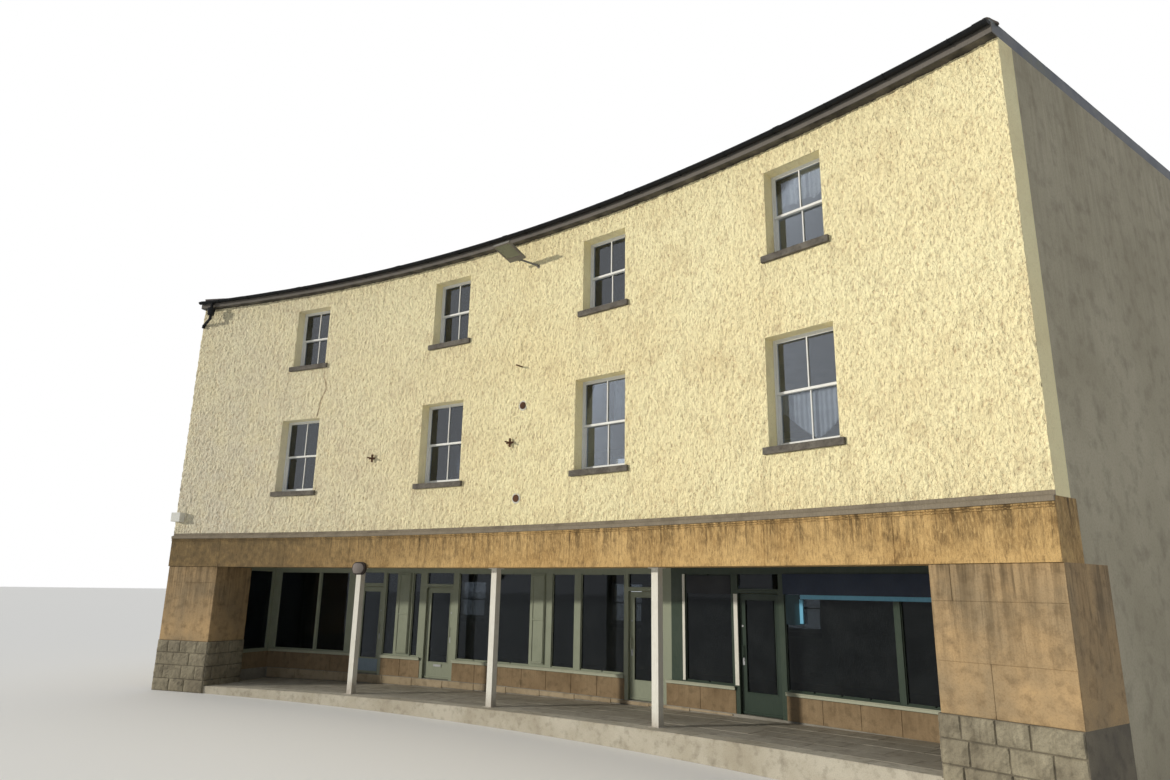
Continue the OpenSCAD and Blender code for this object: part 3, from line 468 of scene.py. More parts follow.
M = {
    "render": roughcast("roughcast_skin", True),
    "render_flat": roughcast("roughcast_wall", False),
    "party": stone("party_cement", (182, 174, 152), (166, 158, 136), (132, 124, 106), size=.5,
                   streaks=.25, z_top=9.1, z_run=4.5, bump=.008),
    # On the fascia the dark runs at the top and the crust's dark flecks are partly grime, partly painted
    # shadow of string lights.
    "fascia": stone("fascia_ochre", (208, 174, 118), (180, 146, 94), (114, 90, 58), streaks=.92,
                    z_top=FASCIA_TOP, z_run=.62, grime_and_shade=True),
    "pier": stone("pier_ochre", (180, 152, 112), (148, 130, 102), (104, 86, 62), size=.9, streaks=.65,
                  z_top=FASCIA_Z, z_run=1.3),
    "base": stone("base_rock", (158, 150, 128), (128, 120, 102), (84, 78, 66), streaks=.3, bump=.012),
    "mortar": stone("joint_mortar", (120, 112, 96), (98, 92, 80), (70, 66, 58)),
    "stall": stone("stall_beige", (150, 130, 102), (132, 112, 86), (96, 82, 62), size=1.2, streaks=.3,
                   z_top=.8, z_run=.4),
    "plinth": stone("plinth_pale", (176, 160, 134), (158, 142, 116), (116, 104, 84)),
    "paving": stone("paving_flags", (172, 166, 152), (150, 144, 130), (110, 104, 92), size=.8),
    "kerb": stone("kerb_stone", (188, 182, 166), (168, 160, 142), (120, 112, 98)),
    "slab": stone("slab_concrete", (150, 146, 136), (132, 128, 118), (100, 96, 88)),
    "sill": stone("sill_dark", (116, 111, 102), (88, 83, 76), (46, 43, 40), size=3.5),
    "lead": paint("lead_sheet", (134, 124, 107), (94, 85, 72), rough=.6, wear=.6, bump=.006),
    "post": paint("post_white", (226, 224, 214), (196, 192, 178), wear=.35, dirt=(110, 84, 58),
                  foot=(.15, .55)),
    "sash": paint("sash_white", (232, 232, 228), (206, 206, 200), rough=.4, dirt=(120, 116, 106)),
    "sage": paint("frame_sage", (144, 149, 130), (124, 130, 113), wear=.35),
    "sage_pale": paint("trim_pale", (172, 174, 154), (150, 152, 134), wear=.4),
    "right_frame": paint("frame_right", (144, 149, 130), (124, 130, 113), wear=.3,
                         other=(11.6, (52, 64, 54))),
    "bottle": paint("frame_bottle", (52, 64, 54), (40, 50, 44), wear=.3),
    "teal": paint("panel_teal", (24, 56, 66), (18, 44, 52), wear=.15),
    "blue_grey": paint("panel_blue_grey", (128, 146, 160), (104, 120, 132), wear=.3),
    "plaster": paint("soffit_plaster", (196, 190, 174), (166, 160, 144), rough=.9, wear=.5),
    "boards": paint("floor_boards", (150, 122, 88), (112, 90, 64), rough=.7, wear=.5),
    "ceiling": paint("top_plaster", (208, 206, 196), (184, 180, 168), rough=.9, wear=.3),
    # Painted shade: the foot band paints the eaves board's underside near-black; the same colour marks
    # its chips.
    "eaves": paint("eaves_grey_shaded_underside", (112, 107, 100), (88, 84, 79), wear=.35, dirt=(24, 23, 24),
                   foot=(WALL_TOP + .002, WALL_TOP + .012), shine=.25),
    "rim": paint("lamp_rim", (58, 50, 46), (44, 40, 38), wear=.4, shine=.3),
    "gutter": paint("gutter_black", (24, 25, 27), (36, 37, 38), wear=.3, dirt=(90, 94, 66), shine=.15),
    "slate": slates(),
    "ridge": stone("ridge_clay", (108, 98, 92), (86, 78, 74), (56, 52, 50)),
    "lamp": paint("lamp_grey", (120, 118, 110), (92, 90, 84), rough=.5, wear=.4, dirt=(96, 66, 44)),
    "lamp_pale": paint("lamp_border", (122, 114, 108), (96, 90, 86), rough=.5, wear=.3),
    "lens": paint("lamp_lens", (122, 126, 108), (96, 100, 86), rough=.2, wear=.5),
    "box": paint("box_white", (226, 226, 220), (196, 196, 188), wear=.3),
    "iron": paint("rusty_iron", (96, 66, 46), (60, 44, 36), rough=.85, wear=.8, dirt=(140, 84, 44)),
    "steel": paint("pull_steel", (176, 178, 180), (140, 142, 144), rough=.3, wear=.2),
    "sign": paint("sign_navy", (14, 34, 62), (10, 24, 44), wear=.15),
    "sky": paint("strip_light_blue", (112, 176, 206), (90, 150, 182), wear=.15),
    "ink": paint("panel_ink", (22, 26, 34), (14, 16, 22), wear=.15),
    "glass": glazing("window_glass", (.10, .13, .16, 1), (.84, .87, .90, 1), .085, .5),
    "net": net("net_cloth", (226, 228, 232), .72),
    "lace": net("lace_cloth", (216, 216, 214), .7, lace=True),
    # Painted shade: the dark see-through tint darkens the view into the shops, as a dim inside would.
    "shop_glass": glazing("shop_glass", (.04, .05, .05, 1), (.30, .32, .34, 1), .014),
}
NODE_MAT = {
    "ground_floor_slab": "slab", "arcade_floor": "kerb", "stone_fascia": "fascia",
    "fascia_flashing": "lead", "arcade_soffit": "plaster", "arcade_posts": "post",
    "first_floor": "boards", "second_floor": "boards", "top_ceiling": "ceiling", "roof": "slate",
    "eaves_boards": "eaves", "front_gutter": "gutter", "rear_gutter": "gutter",
    "gutter_outlet": "gutter", "bulkhead_lamp": "rim", "stallrisers": "stall",
    "shopfront_head": "sage", "shopfront_left": "sage", "shopfront_right": "right_frame",
    "shop_glass": "shop_glass", "sign_band": "sign", "floodlight": "lamp", "wall_box": "box",
    "wall_studs": "iron", "door_1": "sage", "door_2": "sage", "door_3": "sage", "door_4": "bottle",
}
# for the other nodes: the first of these words that the name holds
WORD_MAT = {"party": "party", "wall_bay": "render_flat", "_base": "mortar", "pier": "pier",
            "_sills": "sill", "_sashes": "sash", "window": "glass", "": "shop_glass"}
for name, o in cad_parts.items():
    key = NODE_MAT.get(name) or next(mat for word, mat in WORD_MAT.items() if word in name)
    o.data.materials.clear()
    o.data.materials.append(M[key])

# ---- roughcast skin of the street front
def value_noise(x, y, rng):
    """Smooth random field at the places x, y, one random value to each unit."""
    size = 512
    g = np.pad(rng.random((size, size)), ((0, 1), (0, 1)), mode="wrap")
    xi, yi = np.floor(x).astype(int), np.floor(y).astype(int)
    tx, ty = x - xi, y - yi
    tx, ty = tx * tx * (3 - 2 * tx), ty * ty * (3 - 2 * ty)
    xi, yi = xi % size, yi % size
    a, b, c, d = g[yi, xi], g[yi, xi + 1], g[yi + 1, xi], g[yi + 1, xi + 1]
    return (a * (1 - tx) + b * tx) * (1 - ty) + (c * (1 - tx) + d * tx) * ty


BAY_S = [0, *[(a + b) / 2 for a, b in zip(SECOND["s"], SECOND["s"][1:])], LEN]
CRACK = [(4.04, 7.16), (4.02, 7.05), (4.11, 6.88), (4.13, 6.72), (4.00, 6.48), (3.98, 6.30), (3.93, 6.10)]
HOLES = []  # windows and their sills: the skin stops at them
for w, sc in WINDOWS:
    x0, x1, z0 = sc - w["w"] / 2, sc + w["w"] / 2, w["sill"]
    HOLES += [(x0, x1, z0, z0 + w["h"]), (x0 - .08, x1 + .08, z0 - SILL_H, z0)]
SKIN_Z0, SKIN_Z1 = FASCIA_TOP + .061, WALL_TOP - .002


def ticks(lo, hi, cuts, cell):
    marks = sorted({lo, hi, *cuts})
    out = []
    for a, b in zip(marks, marks[1:]):
        out += list(np.linspace(a, b, max(1, round((b - a) / cell)), endpoint=False))
    return np.array(out + [hi])


def roughcast_skins(cell):
    """The thrown render of the whole street front, as one relief cut into the four bays."""
    ss = ticks(0, LEN, [*BAY_S, *[v for h in HOLES for v in h[:2]]], cell)
    zz = ticks(SKIN_Z0, SKIN_Z1, [v for h in HOLES for v in h[2:]], cell)
    S, Z = np.meshgrid(ss, zz)
    shape = S.shape
    rng = np.random.default_rng(40)

    def field(size_z, size_s, lean=0.0):
        return value_noise((S + lean * Z) / size_s, Z / size_z, rng)
    wx, wz = field(.13, .13) - .5, field(.13, .13) - .5
    S, Z = S + .05 * wx, Z + .05 * wz
    k = .46 * field(.066, .038, -.12) + .30 * field(.046, .034, .1) + .24 * field(.034, .03)
    waves = field(1.1, 1.3)
    S, Z = np.meshgrid(ss, zz)
    lump = np.clip((k - .36) * 3.2, 0, 1)
    h = .002 + .018 * lump + .008 * (waves - .5)  # ground coat, thrown lumps, slow waves
    gap = np.full(shape, 9.0)
    for x0, x1, z0, z1 in HOLES:
        dx = np.maximum(np.maximum(x0 - S, S - x1), 0)
        dz = np.maximum(np.maximum(z0 - Z, Z - z1), 0)
        gap = np.minimum(gap, np.hypot(dx, dz))
    h = np.where(gap < .03, .006 + (h - .006) * gap / .03, h)  # smoothed beside the openings
    stain_and_shade = .26 * np.clip((.42 - k) / .14, 0, 1)  # dirt and painted shade in the hollows and the crack; stains below the sills' ends
    for (x0, z0), (x1, z1) in zip(CRACK, CRACK[1:]):
        dx, dz = x1 - x0, z1 - z0
        t = np.clip(((S - x0) * dx + (Z - z0) * dz) / (dx ** 2 + dz ** 2), 0, 1)
        dist = np.hypot(S - x0 - t * dx, Z - z0 - t * dz)
        line = np.clip(1 - dist / .03, 0, 1)
        # the crack: dirt and painted shade along its line
        stain_and_shade = np.maximum(stain_and_shade, line * .85)
        h = h - .008 * line
    for w, sc in WINDOWS:
        drop = w["sill"] - SILL_H - Z
        for side in (-1, 1):
            x = sc + side * (w["w"] / 2 + .095) + .015 * np.sin(Z * 13 + sc)
            run = (drop > 0) * np.clip(1 - drop / .8, 0, 1) * np.clip(1 - np.abs(S - x) / .06, 0, 1)
            stain_and_shade = np.maximum(stain_and_shade, .35 * run)
    h = np.maximum(h, .001)
    front = place(S, -h, Z).reshape(-1, 3)
    rear = place(S, np.full(shape, BURIED), Z).reshape(-1, 3)
    mid_s, mid_z = np.meshgrid((ss[1:] + ss[:-1]) / 2, (zz[1:] + zz[:-1]) / 2)
    solid = np.ones(mid_s.shape, bool)
    for x0, x1, z0, z1 in HOLES:
        solid &= ~((mid_s > x0) & (mid_s < x1) & (mid_z > z0) & (mid_z < z1))
    idx = np.arange(S.size).reshape(shape)
    a, b, c, d = idx[:-1, :-1], idx[:-1, 1:], idx[1:, 1:], idx[1:, :-1]
    for i in range(4):
        keep = solid & (mid_s > BAY_S[i]) & (mid_s < BAY_S[i + 1])
        faces = np.stack([a, b, c, d], -1)[keep].tolist()
        pad = np.pad(keep, 1)
        edges = []
        for dj, di, e0, e1 in ((-1, 0, a, b), (1, 0, c, d), (0, -1, d, a), (0, 1, b, c)):
            free = keep & ~pad[1 + dj:pad.shape[0] - 1 + dj, 1 + di:pad.shape[1] - 1 + di]
            edges += list(zip(e0[free].tolist(), e1[free].tolist()))
        rim = sorted({v for e in edges for v in e})
        low = {v: S.size + n for n, v in enumerate(rim)}
        faces += [(q, p, low[p], low[q]) for p, q in edges]
        allv = np.concatenate([front, rear[rim]])
        tone = np.concatenate([stain_and_shade.ravel(), np.zeros(len(rim))])
        live, quads = np.unique(faces, return_inverse=True)
        o = mesh(f"roughcast_bay_{i + 1}", allv[live], quads.reshape(-1, 4), M["render"], smooth=True,
                 slot="render", sharp=62)
        point_values(o, "stain_and_shade", tone[live])


roughcast_skins(.0205)

# ---- fascia, piers
def inset(rects, g):
    return [(a + g, b - g, c + g, d - g) for a, b, c, d in rects]


fascia_marks = [0, 1.48, 3.42, 5.30, 7.24, 9.06, 10.98, 12.92, 14.78, 16.70, LEN]
blocks("fascia_stones", [(a + SEAM, b - SEAM, FASCIA_Z, FASCIA_TOP - .062)
                         for a, b in zip(fascia_marks, fascia_marks[1:])],
       front_face(-FASCIA_PROUD), .006, M["fascia"], cell=.20, vary=.004, seed=3, slot="fascia_stone")
blocks("fascia_ledges", [(0, LEN, FASCIA_TOP - a, FASCIA_TOP - b)
                         for a, b in ((.088, .064), (.120, .104))],
       front_face(-FASCIA_PROUD - .004), .018, M["fascia"], chamfer=.004, cell=.25, seed=5,
       slot="fascia_stone")
LEFT_BED, RIGHT_BED, LOW_BED = FASCIA_Z - .36, FASCIA_Z - .42, 1.66
left_rects = [(0, PIER_L, BASE_H, LEFT_BED), (0, .52, LEFT_BED, FASCIA_Z),
              (.52, PIER_L, LEFT_BED, FASCIA_Z)]
right_rects = [(PIER_R_S, 17.72, BASE_H, LOW_BED), (17.72, LEN, BASE_H, LOW_BED),
               (PIER_R_S, LEN, LOW_BED, RIGHT_BED), (PIER_R_S, 17.35, RIGHT_BED, FASCIA_Z),
               (17.35, LEN, RIGHT_BED, FASCIA_Z)]
side_rects = [(0, PIER_D, BASE_H, 1.9), (0, PIER_D, 1.9, FASCIA_Z)]
for k, (name, rects, face, vary) in enumerate((
        ("left_slabs", left_rects, front_face(0), .003),
        ("right_slabs", right_rects, front_face(0), .003),
        ("left_cheek", side_rects, cross_face(PIER_L, 1), 0),
        ("right_cheek", side_rects, cross_face(PIER_R_S, -1), 0))):
    blocks(f"pier_{name}", inset(rects, SEAM), face, .007, M["pier"], cell=.16, vary=vary, seed=7 + k,
           flip=k == 3, slot="pier_stone")
courses = [0, .27, .56, .83, BASE_H]
for k, (name, u0, u1, face) in enumerate((
        ("left_stones", 0, PIER_L + BASE_PROUD, front_face(-BASE_PROUD)),
        ("right_stones", PIER_R_S - BASE_PROUD, LEN, front_face(-BASE_PROUD)),
        ("left_cheek", -BASE_PROUD, PIER_D, cross_face(PIER_L + BASE_PROUD, 1)),
        ("right_cheek", -BASE_PROUD, PIER_D, cross_face(PIER_R_S - BASE_PROUD, -1)))):
    blocks(f"base_{name}", rows(u0, u1, courses, .42, .012, 21 + k), face, .022, M["base"], chamfer=.008,
           cell=.035, rough=.012, seed=11 + k, flip=k == 3, slot="base_stone")

# ---- shopfront, paving
JAMB, END_POST = DOOR_GAP + .075, POST + .032
RUN_ENDS = [END_W + END_POST, *[v for d in DOORS for v in (d[0] - JAMB, d[1] + JAMB)],
            LEN - END_W - END_POST]
RUNS = list(zip(RUN_ENDS[::2], RUN_ENDS[1::2]))
RUNS[2] = (RUNS[2][0], 10.60)  # ends short of its jamb


def split(spans, length, z0, z1):
    """Spans along the front cut into equal slabs of about the given length, with joints."""
    out = []
    for a, b in spans:
        cuts = np.linspace(a, b, max(1, round((b - a) / length)) + 1)
        out += [(u + JOINT, v - JOINT, z0, z1) for u, v in zip(cuts, cuts[1:])]
    return out


def paved(s):
    """Height of the paving at the foot of the shopfront."""
    return paving_z(place(s, SHOP_OFF, 0)[0])


blocks("stallriser_slabs", split(RUNS, .63, SHOP_FLOOR + .004, STALL_Z - .003), front_face(SHOP_OFF),
       .008, M["stall"], cell=.2, vary=.003, seed=31, slot="stall_stone")
for k, (name, z0, z1, off, depth) in enumerate((
        ("sills", .004, .060, .030, .007), ("sill_noses", .044, .062, .036, .014))):
    blocks(f"shop_{name}", [(a + SEAM, b - SEAM, STALL_Z + z0, STALL_Z + z1) for a, b in RUNS],
           front_face(SHOP_OFF - off), depth, M["sage_pale"], chamfer=.003 + k * .001, cell=.4,
           seed=32 + k, slot="green_wood")
step_marks = np.arange(1.30, 14.2, .82)
blocks("shop_plinth", [(a + JOINT, b - JOINT, paved(b) + .012, SHOP_FLOOR - .012)
                       for a, b in zip(step_marks, step_marks[1:]) if paved(b) < SHOP_FLOOR - .05],
       front_face(SHOP_OFF), .016, M["plinth"], chamfer=.005, vary=.004, seed=34, slot="slab")


def paving_face(u, v, h):
    p = place(u, v, 0)
    p[..., 2] = paving_z(p[..., 0]) + h
    return p


kerbs = np.linspace(PIER_L + BASE_PROUD + .03, PIER_R_S - BASE_PROUD - .03, 18)
blocks("kerb_stones", [(a + JOINT, b - JOINT, .004, .30) for a, b in zip(kerbs, kerbs[1:])], paving_face,
       .010, M["kerb"], chamfer=.004, cell=.5, vary=.002, seed=35, slot="paving")
blocks("paving_flags", rows(PIER_L + .06, PIER_R_S - .06, [.306, .75, 1.2, 1.66, SHOP_OFF - .03], .76,
                            .008, 36),
       paving_face, .009, M["paving"], cell=.5, vary=.003, seed=36, slot="paving")

trim = Pile()
for a, b in PILASTERS:
    spot = at((a + b) / 2, SHOP_OFF - .03)
    half = (b - a) / 2 - .034
    for x in (-half, half - .03):
        trim.box(spot, (x, -.012, .93), (x + .03, .002, 2.62), .004)
    for z in (.90, 1.74, 2.62):
        trim.box(spot, (-half, -.016, z), (half, .002, z + .035), .005)
trim.make("pilaster_mouldings", M["sage"], slot="green_wood")
BEAD_OFF, BEAD_W, BEAD_H, BEAD_D = SHOP_OFF + .018, .016, .018, .024
PANE_Z0, PANE_Z1 = STALL_Z + RAIL, SHOP_HEAD
beads = Pile()
for a, b in LIGHTS:
    cuts = np.linspace(a, b, max(1, round((b - a) / .45)) + 1)
    for u, v in zip(cuts, cuts[1:]):
        spot = at((u + v) / 2, BEAD_OFF)
        half = (v - u) / 2
        for z in (PANE_Z0, PANE_Z1 - BEAD_H):
            beads.box(spot, (-half, 0, z), (half, BEAD_D, z + BEAD_H), .004)
    half = BEAD_W / 2
    for s in (a + half, b - half):
        beads.box(at(s, BEAD_OFF), (-half, 0, PANE_Z0 + BEAD_H), (half, BEAD_D, PANE_Z1 - BEAD_H), .004)
beads.make("glazing_beads", M["right_frame"], slot="green_wood")
heads = Pile()
for d in DOORS:
    spot = at((d[0] + d[1]) / 2, SHOP_OFF)
    half = (d[1] - d[0]) / 2 + DOOR_GAP
    heads.box(spot, (-half, -.018, TRANSOM + .05), (half, .002, TRANSOM + RAIL), .005)
    heads.box(spot, (-half, -.010, TRANSOM + .004), (half, .002, TRANSOM + .024), .003)
heads.make("door_heads", M["right_frame"], slot="green_wood")


def door_place(d):
    """The frame of a door leaf: the middle of its foot, on its street face."""
    return at((d[0] + d[1]) / 2, SHOP_OFF + SHOP_D - DOOR_T, SHOP_FLOOR + DOOR_GAP)


def border(x0, x1, y0, y1, w):
    """The four bars of a rectangular border, each by its low and its high corner."""
    return (((x0, y0), (x1, y0 + w)), ((x0, y1 - w), (x1, y1)),
            ((x0, y0 + w), (x0 + w, y1 - w)), ((x1 - w, y0 + w), (x1, y1 - w)))


LAP, BORDER_W = .008, .020
for i, d in enumerate(DOORS):
    spot, body = door_place(d), f"door_{i + 1}"
    wood, slot = ("bottle", "dark_wood") if i == 3 else ("sage", "green_wood")
    w = 2 * (FACE_R + SHOP_OFF) * sin((d[1] - d[0]) / FACE_R / 2)
    x, z = w / 2 - DOOR_STILE + LAP, TRANSOM - SHOP_FLOOR - 2 * DOOR_GAP - DOOR_STILE + LAP
    rim = Pile()
    for y0, y1 in ((-.006, .012), (.033, .050)):
        for lo, hi in border(-x, x, DOOR_PANEL - LAP, z, BORDER_W):
            rim.box(spot, (lo[0], y0, lo[1]), (hi[0], y1, hi[1]), .003)
    rim.box(spot, (-w / 2 + .01, -.016, .012), (w / 2 - .01, .001, .045), .006)
    rim.make(f"{body}_beads", M[wood], body=body, slot=slot)
    lock = Pile()
    x = -d[2] * (w - DOOR_STILE) / 2
    lock.box(spot, (x - .022, -.004, .78), (x + .022, .001, .90), .002)
    for y, z, r, sides in ((-.018, .86, .012, 16), (-.010, 1.42, .017, 18)):
        lock.tube([spot @ Vector((x, y, z)), spot @ Vector((x, -.001, z))], r, sides)
    lock.make(f"{body}_lock", M["steel"], body=body, slot="white_paint")
for i, mat, lo, hi in ((0, "blue_grey", (-.295, -.005, .055), (.295, .001, .325)),
                       (1, "steel", (-.105, -.0115, .258), (.105, -.0075, .305))):
    plate = Pile()
    plate.box(door_place(DOORS[i]), lo, hi, .002)
    plate.make(f"door_{i + 1}_plate", M[mat], body=f"door_{i + 1}", slot="green_wood")

for name, off, depth, mat, slot, rects in (
        ("sign_strip", -.004, .024, "sky", "sign_paint", [(14.06, LEN - END_W - .12, 2.290, 2.357)]),
        ("sign_side_strip", -.004, .022, "sky", "sign_paint", [(14.04, 14.10, 1.90, 2.284)]),
        ("sign_side_panel", -.004, .016, "teal", "sign_paint", [(13.80, 14.034, 1.88, 2.355)]),
        ("window_panel", .03, .016, "ink", "sign_paint", [(11.91, 12.78, 2.345, 2.672)]),
        # Painted light: white strips where sun falls on two frame posts.
        ("pale_post_faces", 0, .008, "post", "white_paint",
         [(11.835, 11.886, PANE_Z0, PANE_Z1), (12.842, 12.916, PANE_Z0, TRANSOM - .01)])):
    blocks(name, rects, front_face(SHOP_OFF + off), depth, M[mat], slot=slot)

# ---- roof slates, ridge and hips
ROOF_R0, ROOF_R1, RIDGE_R = FACE_R + ROOF_OFF, FACE_R + DEPTH - ROOF_OFF, FACE_R + DEPTH / 2
HIP_RUN = RIDGE_R - ROOF_R0
HIP_TURN = asin(HIP_RUN / RIDGE_R)
RIDGE_Z = ROOF_Z + HIP_RUN * tan(PITCH)
END_TURN = MID_S / FACE_R
SLOPES = (("front", ROOF_R0, 1), ("rear", ROOF_R1, -1))  # label, radius at the eaves, way up
COURSES, SLATE_W, SLATE_JOINT, SLATE_LAP, SLATE_LIFT = 20, .26, .004, 1.02, .018
SLIVER = .0015  # m2: slates cut smaller at the hips are left out


def clip(poly, p, n):
    """The part of a plan polygon on the side of the line through p that n points to."""
    out = []
    for (ax, ay), (bx, by) in zip(poly, poly[1:] + poly[:1]):
        da = (ax - p[0]) * n[0] + (ay - p[1]) * n[1]
        db = (bx - p[0]) * n[0] + (by - p[1]) * n[1]
        if da >= 0:
            out.append((ax, ay))
        if (da < 0) != (db < 0):
            t = da / (da - db)
            out.append((ax + t * (bx - ax), ay + t * (by - ay)))
    return out


def slate_roof(name, u0, u1, in0, in1, to_xyz, seed):
    """Courses of slates. u runs along the eaves from u0 to u1, v up the slope in plan, and the hips
    draw the top course in by in0 and in1. Each slate is a thin wedge clipped at the hips, its tail
    lifted over the course below."""
    rng = np.random.default_rng(seed)
    pile = Pile()
    tones = []
    step = HIP_RUN / COURSES
    long = step * SLATE_LAP
    for k in range(COURSES):
        v0 = k * step
        for j in range(int((u1 - u0) / SLATE_W) + 2):
            a = u0 + (j - 1 + k % 2 / 2) * SLATE_W + rng.uniform(-.004, .004) + SLATE_JOINT / 2
            b = a + SLATE_W - SLATE_JOINT
            poly = [(a, v0), (b, v0), (b, v0 + long), (a, v0 + long)]
            for p, q in (((u0, 0), (HIP_RUN, -in0)), ((u1, 0), (-HIP_RUN, -in1))):
                poly = clip(poly, p, q)
            twice = sum(x0 * y1 - x1 * y0 for (x0, y0), (x1, y1) in zip(poly, poly[1:] + poly[:1]))
            if abs(twice) / 2 < SLIVER:
                continue
            lift = SLATE_LIFT + rng.uniform(-.002, .003)
            top = [to_xyz(x, y, .006 + lift * (1 - (y - v0) / long)) for x, y in poly]
            low = [to_xyz(x, y, -.003) for x, y in poly]
            m = len(poly)
            faces = [tuple(range(m)), tuple(range(2 * m - 1, m - 1, -1))]
            faces += [(i, m + i, m + (i + 1) % m, (i + 1) % m) for i in range(m)]
            pile.add(np.array(top + low), faces)
            tones += [float(rng.random() ** 1.5)] * (2 * m)
    point_values(pile.make(name, M["slate"], slot="slate"), "tone", tones)


def roof_point(theta, r, z):
    return (r * sin(theta), r * cos(theta) - MID_R, z)


def slope_z(v):
    return ROOF_Z + v * tan(PITCH)


def slope_xyz(r0, way):
    """u is an angle, times the radius at the eaves; v the way up from the eaves in plan."""
    return lambda u, v, h: roof_point(u / r0, r0 + way * v, slope_z(v) + h)


def end_xyz(way):
    """On a hipped end: u is the distance behind the eaves line, v the way in from the end wall."""
    c, s = cos(END_TURN), way * sin(END_TURN)
    return lambda u, v, h: ((ROOF_R0 + u) * s - way * v * c, (ROOF_R0 + u) * c + way * v * s - MID_R,
                            slope_z(v) + h)


for k, (label, r0, way) in enumerate(SLOPES):
    half, top = END_TURN * r0, (END_TURN - HIP_TURN) * r0
    slate_roof(f"slates_{label}", -half, half, half - top, half - top, slope_xyz(r0, way), 60 + k)
deep, mid_u = ROOF_R1 - ROOF_R0, RIDGE_R * cos(HIP_TURN) - ROOF_R0
for k, (label, way) in enumerate((("left", -1), ("right", 1))):
    slate_roof(f"slates_{label}", 0, deep, mid_u, deep - mid_u, end_xyz(way), 62 + k)

RIDGE_PROFILE = ((-.15, -.040), (-.14, -.012), (-.07, .028), (-.035, .052), (0, .062), (.035, .052),
                 (.07, .028), (.14, -.012), (.15, -.040), (.07, -.006), (0, .012), (-.07, -.006))
TILE_L = .45


def ridge_tiles(name, points):
    """Angle ridge tiles with a roll, laid end to end along a line of points."""
    pile = Pile()
    pts = np.array(points)
    far = np.append(0, np.cumsum(np.linalg.norm(np.diff(pts, axis=0), axis=1)))
    marks = np.linspace(0, far[-1], max(1, round(far[-1] / TILE_L)) + 1)
    ends = [Vector(q) for q in np.stack([np.interp(marks, far, line) for line in pts.T], -1)]
    for a, b in zip(ends, ends[1:]):
        d = (b - a).normalized()
        side = d.cross(Vector((0, 0, 1))).normalized()
        up = side.cross(d)
        v = []
        for q, grow in ((a + d * .002, 1.0), (b - d * .002, 1.04)):
            v += [q + side * (x * grow) + up * (z * grow) for x, z in RIDGE_PROFILE]
        m = len(RIDGE_PROFILE)
        f = [(k, (k + 1) % m, m + (k + 1) % m, m + k) for k in range(m)]
        f += [tuple(range(m))[::-1], tuple(range(m, 2 * m))]
        pile.add(v, f)
    pile.make(name, M["ridge"], slot="slate")


ridge_turns = np.linspace(-END_TURN + HIP_TURN, END_TURN - HIP_TURN, 27)
ridge_tiles("ridge_tiles", [roof_point(t, RIDGE_R, RIDGE_Z + .01) for t in ridge_turns])
for k in range(4):
    sx, (_, r0, way) = (-1, 1)[k // 2], SLOPES[k % 2]
    hip = []
    for v in np.linspace(.06, HIP_RUN, 8):
        r = r0 + way * v
        hip.append(roof_point(sx * (END_TURN - asin(v / r)), r, slope_z(v) + .012))
    ridge_tiles(f"hip_tiles_{k + 1}", hip)

# ---- windows and fittings
stools = Pile()
for w, sc in WINDOWS:
    spot, half = at(sc, 0, w["sill"]), w["w"] / 2 - .003
    stools.box(spot, (-half, REVEAL - .045, .0005), (half, REVEAL - .001, .030), .008)
    for x in (-half, half - .023):
        stools.box(spot, (x, REVEAL - .012, .030), (x + .023, REVEAL - .001, w["h"] - .002), .003)
stools.make("window_stools", M["sash"], slot="sash_wood")
GUTTER_OFF, GUTTER_Z = EAVES_OFF - GUTTER_R - .005, WALL_TOP + EAVES_H - .005
STRAP, STRAP_R = .0055, GUTTER_R + .0055
straps = Pile()
for off, way in ((GUTTER_OFF, -1), (DEPTH - GUTTER_OFF, 1)):
    for s in np.arange(.62, LEN - .3, .92):
        straps.tube([place(s, off + way * STRAP_R * cos(t), GUTTER_Z - STRAP_R * sin(t))
                     for t in np.linspace(0, pi, 11)], STRAP, 6)
straps.make("gutter_straps", M["gutter"], slot="gutter_black")

LAMP_W, LAMP_H, RIM, RINGS, SEG = .36, .26, .025, 7, 32
FRONT, BACK = .123, .05  # how far the lens's middle and hidden back stand out from the fascia
spot = at(BULKHEAD_S, -FASCIA_PROUD - .0008, FASCIA_Z - .02) @ Matrix.Rotation(pi / 2, 4, "X")
hw, hh, dome = LAMP_W / 2 - RIM - .002, LAMP_H / 2 - RIM - .002, .7 * LAMP_W
t = 2 * pi * np.arange(SEG) / SEG
q, c = np.append(np.arange(RINGS + 1) / RINGS, 1)[:, None], np.cos(t)
x = q * ((hw - hh) * np.clip(4 * c, -1, 1) + hh * c)
y = q * hh * np.sin(t)
z = FRONT - dome + np.sqrt(dome ** 2 - x ** 2 - y ** 2)
z[-1] = BACK
faces = []
for j in range(RINGS + 1):
    for k in range(SEG):
        a, b = j * SEG + k, j * SEG + (k + 1) % SEG
        faces.append((a, a + SEG, b + SEG, b) if j else (a, a + SEG, b + SEG))
faces.append(tuple(range((RINGS + 1) * SEG, (RINGS + 2) * SEG))[::-1])
lens = Pile()
lens.add([spot @ Vector(v) for v in np.stack([x, y, z], -1).reshape(-1, 3)], faces)
lens.make("bulkhead_lens", M["lamp_pale"], slot="lamp_metal", smooth=True, sharp=40)
spot = at(FLOOD_S, 0, FLOOD_Z) @ Matrix.Translation(FLOOD_ARM) @ Matrix.Rotation(FLOOD_TILT, 4, "X")
face = Pile()
face.box(spot, (-.172, -.492, -.0465), (.172, -.123, -.0395), .002)
face.make("floodlight_lens", M["lens"], slot="lamp_metal")
rim = Pile()
for lo, hi in border(-.2, .2, -.52, -.096, .022):
    rim.box(spot, (*lo, -.0515), (*hi, -.0475), .0015)
rim.make("floodlight_rim", M["lamp_pale"], slot="lamp_metal")
ribs = Pile()
